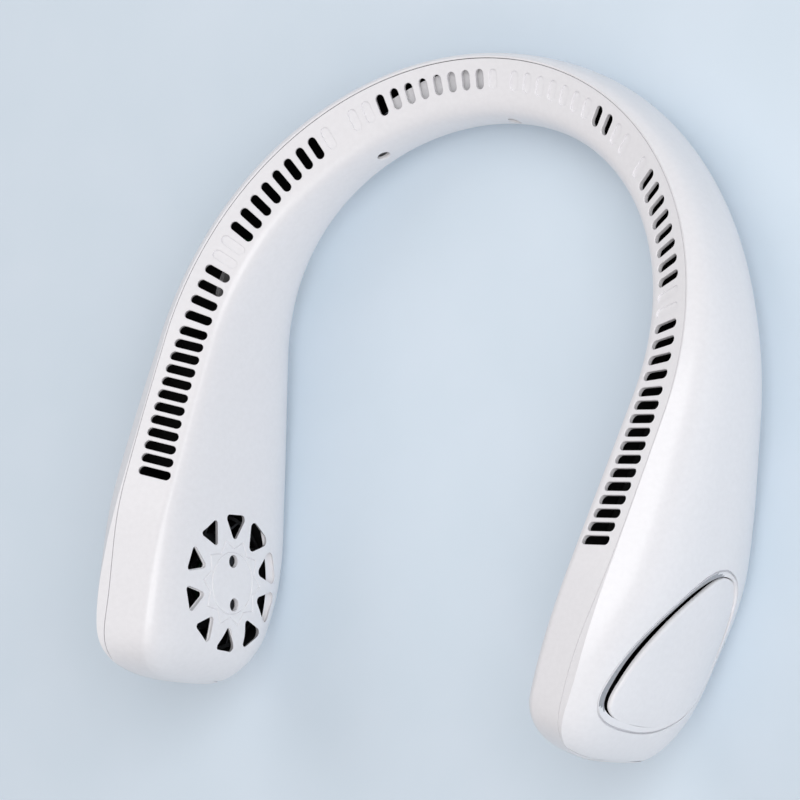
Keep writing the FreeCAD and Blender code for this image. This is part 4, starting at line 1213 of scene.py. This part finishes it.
@dataclass
class Intakes:
    """The leaf-shaped intake in the outer face of each end: a sloped lip, a slit and a sunk panel.

    Both outlines are along the arm and up from the blower axis, from the arch-side point up round the slit
    to the tip and back along the underside. The lip's widths and depths and the panel's edge go with their
    points. Each band of painted shade is a band of the lip, grey instead of white, from its line to the slit,
    with the points between which it runs. The grey stands in for the shade that the sloped lip falls into. On
    a narrow lip the line is no wider and no deeper than a share of it.
    """

    palette: Palette
    outline: tuple = ((-26.0, -14.0), (-27.0, -9.5), (-25.3, -1.8), (-18.6, 8.6), (-11.6, 16.0), (-1.7, 23.6),
                      (5.4, 27.2), (11.9, 28.1), (14.7, 26.6), (17.5, 21.7), (19.2, 12.6), (19.6, 2.3),
                      (17.1, -7.8), (11.5, -16.0), (0.0, -21.5), (-13.0, -22.0), (-23.0, -18.5))
    lip: tuple = (1.4, 2.3, 2.9, 2.8, 2.8, 3.1, 3.5, 3.8, 3.1, 2.6, 2.3, 2.0, 1.2, 0.4, 0.35, 0.35, 0.6)
    lip_depth: tuple = (0.5, 1.0, 1.5, 1.5, 1.5, 1.5, 1.5, 1.5, 1.3, 0.9, 0.6, 0.35, 0.2, 0.15, 0.15, 0.15,
                        0.3)
    panel_outline: tuple = ((-24.5, -13.3), (-24.4, -9.7), (-21.3, -3.6), (-14.6, 5.5), (-8.0, 11.9),
                            (1.5, 18.7), (7.3, 21.6), (10.6, 22.6), (12.9, 22.3), (14.8, 20.4),
                            (16.95, 12.3), (17.65, 2.5), (16.1, -7.4), (11.2, -15.6), (-0.1, -21.0),
                            (-12.9, -21.5), (-22.6, -17.9))
    # Bands of the lip painted grey as shade, with the points between which each runs.
    painted_shade_bands: tuple = ((4, 1.4, 7.2), (5, 1.1, 7.6), (6, 0.8, 8.3), (7, 0.8, 8.3))
    edge_round: tuple = (0.4, 0.8, 1.2, 1.2, 1.2, 1.2, 1.2, 1.2, 0.9, 0.3, 0.2, 0.15, 0.12, 0.12, 0.12, 0.12,
                         0.2)
    hinge: tuple = (11.5, -16.0)
    sink_deg: float = 2.2
    line_width: float = 0.55
    line_depth: float = 0.9
    widest_line: float = 0.5
    deepest_line: float = 0.9
    line_walls: tuple = (0.1, 1.2)
    lip_start: float = 0.1
    lip_bands: int = 3
    mouth: float = 0.02
    cut_depth: float = 9.6
    wall: float = 1.6
    points: int = 280
    round_steps: tuple = (0.0, 0.07, 0.17, 0.3, 0.45, 0.62, 0.8, 1.0, 1.4)
    panel_rings: int = 22
    far: float = 60.0

    def leaf(self) -> tuple[np.ndarray, np.ndarray, np.ndarray]:
        """The outline as a smooth closed curve.

        Returns:
            Its points, the inward direction at each, and each one's place among the given points.
        """
        curve, index = closed_curve(np.array(self.outline), self.points)
        along = np.roll(curve, -1, axis=0) - np.roll(curve, 1, axis=0)
        inward = np.column_stack((along[:, 1], -along[:, 0]))
        return curve, inward / np.linalg.norm(inward, axis=1)[:, None], index

    def axes(self, side: int) -> tuple[np.ndarray, np.ndarray, np.ndarray]:
        """The point on the slot line's upright at the blower axis, the outward and the forward direction."""
        point, outward, tangent = FORM.at(side * BLOWER.station)
        return point + UP * BLOWER.height, outward, tangent

    def ring(self, skin: Skin, side: int, flat: np.ndarray, depth: np.ndarray,
             tilt: float = 0.0) -> np.ndarray:
        """Points under the outside of the shell.

        Args:
            skin: The outside of the outer shell.
            side: 1 on the right, -1 on the left.
            flat: Points along the arm and up from the blower axis.
            depth: How deep each lies.
            tilt: Degrees that the surface is tilted inwards about the hinge.

        Returns:
            The points in the shared frame.
        """
        origin, outward, tangent = self.axes(side)
        pivot = origin + tangent * self.hinge[0] + UP * self.hinge[1] + outward * FORM.outer_reach[-1]
        turn = np.array(Matrix.Rotation(-side * math.radians(tilt), 3, Vector(tangent + UP)))
        found = []
        for (forward, rise), down in zip(flat, depth):
            start = origin + tangent * forward + UP * rise + outward * self.far
            run = skin.distance(pivot + turn @ (start - pivot), turn @ -outward)
            found.append(start - outward * (run + down))
        return np.array(found)

    def add_to(self, cutter: Cutter, skin: Skin) -> None:
        """Add both leaf openings, with their lines and sloped lips, to a cutter.

        Args:
            cutter: The outer shell's cutter.
            skin: The outside of the outer shell.
        """
        curve, inward, index = self.leaf()
        # The faces of these bands take the grey of painted shade.
        painted_shade_bands = frozenset(band * self.points + int(column) for band, start, stop in self.painted_shade_bands
                         for column in np.flatnonzero((index > start) & (index < stop)))
        lip, floor = eased(self.lip, index), eased(self.lip_depth, index)
        line = np.minimum(self.line_width, self.widest_line * lip)
        groove = np.minimum(self.line_depth, self.deepest_line * lip)
        outer_wall, inner_wall = (share * line for share in self.line_walls)
        none = np.zeros(self.points)
        deep = none + self.cut_depth
        slope = []
        for share in np.linspace(0.0, 1.0, self.lip_bands + 1):
            fall = self.lip_start + (1 - self.lip_start) * share
            slope.append((inner_wall * (1 - share) + lip * share, floor * fall))
        profile = ((none, -deep), (none, none - self.mouth), (outer_wall, groove), (line, groove), *slope,
                   (lip, deep))
        for side in SIDES.values():
            cutter.add_rings([self.ring(skin, side, curve + inward * inset[:, None], depth)
                              for inset, depth in profile], painted_shade_bands)

    def panel(self, skin: Skin, label: str) -> bpy.types.Object:
        """Make the sunk panel of one end, with a rounded edge along the slit.

        Args:
            skin: The outside of the outer shell.
            label: The end's side.

        Returns:
            The panel, white outside and dark inside.
        """
        side = SIDES[label]
        edge, index = closed_curve(np.array(self.panel_outline), self.points)
        centre = edge.mean(axis=0)
        spans = np.linalg.norm(edge - centre, axis=1)
        radius = eased(self.edge_round, index)
        rings = []
        for step in self.round_steps:
            share = (step * radius / spans)[:, None]
            drop = radius * (1 - math.sqrt(1 - max(1 - step, 0.0) ** 2))
            rings.append(self.ring(skin, side, edge + (centre - edge) * share, drop, self.sink_deg))
        first = self.round_steps[-1] * radius / spans
        level = np.zeros(self.points)
        for k in range(1, self.panel_rings):
            share = (first + (1 - first) * k / self.panel_rings)[:, None]
            rings.append(self.ring(skin, side, edge + (centre - edge) * share, level, self.sink_deg))
        faces = grid_faces(len(rings), self.points, closed=True)
        last = (len(rings) - 1) * self.points
        faces.append(tuple(range(last, last + self.points)))
        if side < 0:
            faces = [face[::-1] for face in faces]
        materials = [self.palette.get(WHITE_ABS), self.palette.get(BLACK_ABS_AND_PAINTED_SHADE)]
        panel = new_object(f"intake_panel_{label}", np.vstack(rings), faces, materials)
        # The black inside and rim are painted shade, so the slit stays black.
        thicken(panel, self.wall, inside=1, rim=1)
        settle(panel)
        return panel


@dataclass
class Studio:
    """Floor, lights and camera."""

    palette: Palette
    floor_half_m: float = 6.0
    floor_drop_m: float = 0.0002
    camera_m: tuple = (0.7916, 0.0033, 1.0984)
    right: tuple = (0.79122, 0.12783, -0.59802)
    up: tuple = (-0.10619, 0.99177, 0.07150)
    look: tuple = (-0.60224, -0.00693, -0.79829)
    lens_mm: float = 216.0
    sensor_mm: float = 36.0
    clip_m: tuple = (0.05, 30.0)
    lamps: tuple = (("key", (0.9, 0.3, 1.2), 9.9, "#FFFFFF"), ("fill", (-0.8, 0.7, 1.0), 4.4, "#FFFCFA"),
                    ("sweep", (0.8, -0.75, 1.0), 4.4, "#FFFAF6"))
    lamp_size_m: float = 1.0
    aim_m: tuple = (0.0, 0.0, 0.03)
    air: str = "#F1EEF0"
    air_strength: float = 0.48

    def floor(self) -> None:
        """Lay the floor that the fan rests on."""
        half = self.floor_half_m / MM
        drop = -self.floor_drop_m / MM
        turns = ((-1, -1), (1, -1), (1, 1), (-1, 1))
        corners = np.array([(x * half, y * half, drop) for x, y in turns])
        floor = new_object("studio_floor", corners, [(0, 1, 2, 3)], [self.palette.get(FLOOR_PAINT)])

    def lights(self) -> None:
        """Hang the soft square lamps and set the pale surroundings."""
        for name, place, power, colour in self.lamps:
            light = bpy.data.lights.new(name, "AREA")
            light.size = self.lamp_size_m
            light.energy = power
            light.color = linear(colour)[:3]
            lamp = bpy.data.objects.new(name, light)
            lamp.location = place
            lamp.rotation_euler = (Vector(self.aim_m) - Vector(place)).to_track_quat("-Z", "Y").to_euler()
            bpy.context.scene.collection.objects.link(lamp)
        world = bpy.data.worlds.new("studio_air")
        bpy.context.scene.world = world
        world.use_nodes = True
        sky = world.node_tree.nodes["Background"]
        sky.inputs["Color"].default_value = linear(self.air)
        sky.inputs["Strength"].default_value = self.air_strength

    def camera(self) -> None:
        """Set the camera at the photograph's angle, with the arch towards the top of the picture."""
        data = bpy.data.cameras.new("camera")
        data.sensor_width = self.sensor_mm
        data.lens = self.lens_mm
        data.clip_start, data.clip_end = self.clip_m
        camera = bpy.data.objects.new("camera", data)
        back = -Vector(self.look)
        turn = Matrix((Vector(self.right), Vector(self.up), back)).transposed()
        camera.matrix_world = Matrix.Translation(Vector(self.camera_m)) @ turn.to_4x4()
        bpy.context.scene.collection.objects.link(camera)
        bpy.context.scene.camera = camera
        bpy.context.scene.view_settings.view_transform = "Standard"


NODE_FINISH = {
    "light_guide": LIGHT_PC, "wire_loom": WIRE_SLEEVE_PAINTED_SHADE, "motor_lead": WIRE_SLEEVE_PAINTED_SHADE, "battery": CELL_SLEEVE_PAINTED_SHADE,
    "arch_screws": SCREW_STEEL_PAINTED_SHADE, "grille_screws": SCREW_STEEL_PAINTED_SHADE, "board_screws": PLATED_STEEL,
    "main_board": SOLDER_MASK, "motor_board": SOLDER_MASK, "usb_socket": BLACK_NICKEL,
    "power_button": WHITE_ABS, "tact_switch": BLACK_ABS_AND_PAINTED_SHADE, "volute": BLACK_ABS_AND_PAINTED_SHADE, "duct_floor": BLACK_ABS_AND_PAINTED_SHADE,
    "battery_saddles": BLACK_ABS_AND_PAINTED_SHADE, "motor_base": BLACK_ABS_AND_PAINTED_SHADE, "impeller": IMPELLER_PAINTED_SHADE, "stator": CORE_STEEL,
    "rotor_cup": CORE_STEEL, "windings": COPPER, "bearing": BRONZE, "magnet_ring": FERRITE,
    "shaft": SHAFT_STEEL,
}


def dress_nodes(nodes: dict[str, bpy.types.Object], palette: Palette) -> None:
    """Give each CAD node that stays in view its finish.

    Args:
        nodes: The CAD nodes by name.
        palette: The materials.
    """
    for name, obj in nodes.items():
        kind = name.removesuffix("_right").removesuffix("_left")
        if kind not in NODE_FINISH:
            continue
        for slot in obj.material_slots:
            slot.material = palette.get(NODE_FINISH[kind])
        LOG.info("dressed %s", name)


def join(piece: bpy.types.Object, node: str) -> None:
    """Let a white piece stand for a CAD node of the housing.

    Args:
        piece: The piece.
        node: The node's name.
    """
    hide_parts(node)
    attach(piece, HOUSING)
    LOG.info("built %s with %d faces", piece.name, len(piece.data.polygons))


def main() -> None:
    """Build the fan's looks in order: shells, openings, inner pieces, studio."""
    logging.basicConfig(level=logging.INFO, format="%(name)s: %(message)s")
    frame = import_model()
    palette = Palette()
    dress_nodes(frame["nodes"], palette)

    shells = Shells(palette)
    fittings = Fittings()
    neck_side = shells.build(outer=False)
    skin = Skin.of(neck_side)
    cutter = Cutter()
    Slots().add_to(cutter)
    Grilles().add_to(cutter, skin)
    fittings.add_neck_side(cutter, skin)
    cutter.cut_from(neck_side, "neck_side_openings", [palette.get(WHITE_ABS)])
    join(neck_side, "inner_shell")
    liner = Liner(palette).build()
    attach(liner, HOUSING)

    back = shells.build(outer=True)
    skin = Skin.of(back)
    cutter = Cutter()
    intakes = Intakes(palette)
    intakes.add_to(cutter, skin)
    fittings.add_outer(cutter, skin)
    # The second material is the grey of painted shade on the intakes' lips.
    cutter.cut_from(back, "outer_openings", [palette.get(WHITE_ABS), palette.get(LIP_PAINTED_SHADE)])
    join(back, "outer_shell")
    for label in SIDES:
        join(intakes.panel(skin, label), f"intake_cover_{label}")

    studio = Studio(palette)
    studio.floor()
    studio.lights()
    studio.camera()


if __name__ == "__main__":
    main()
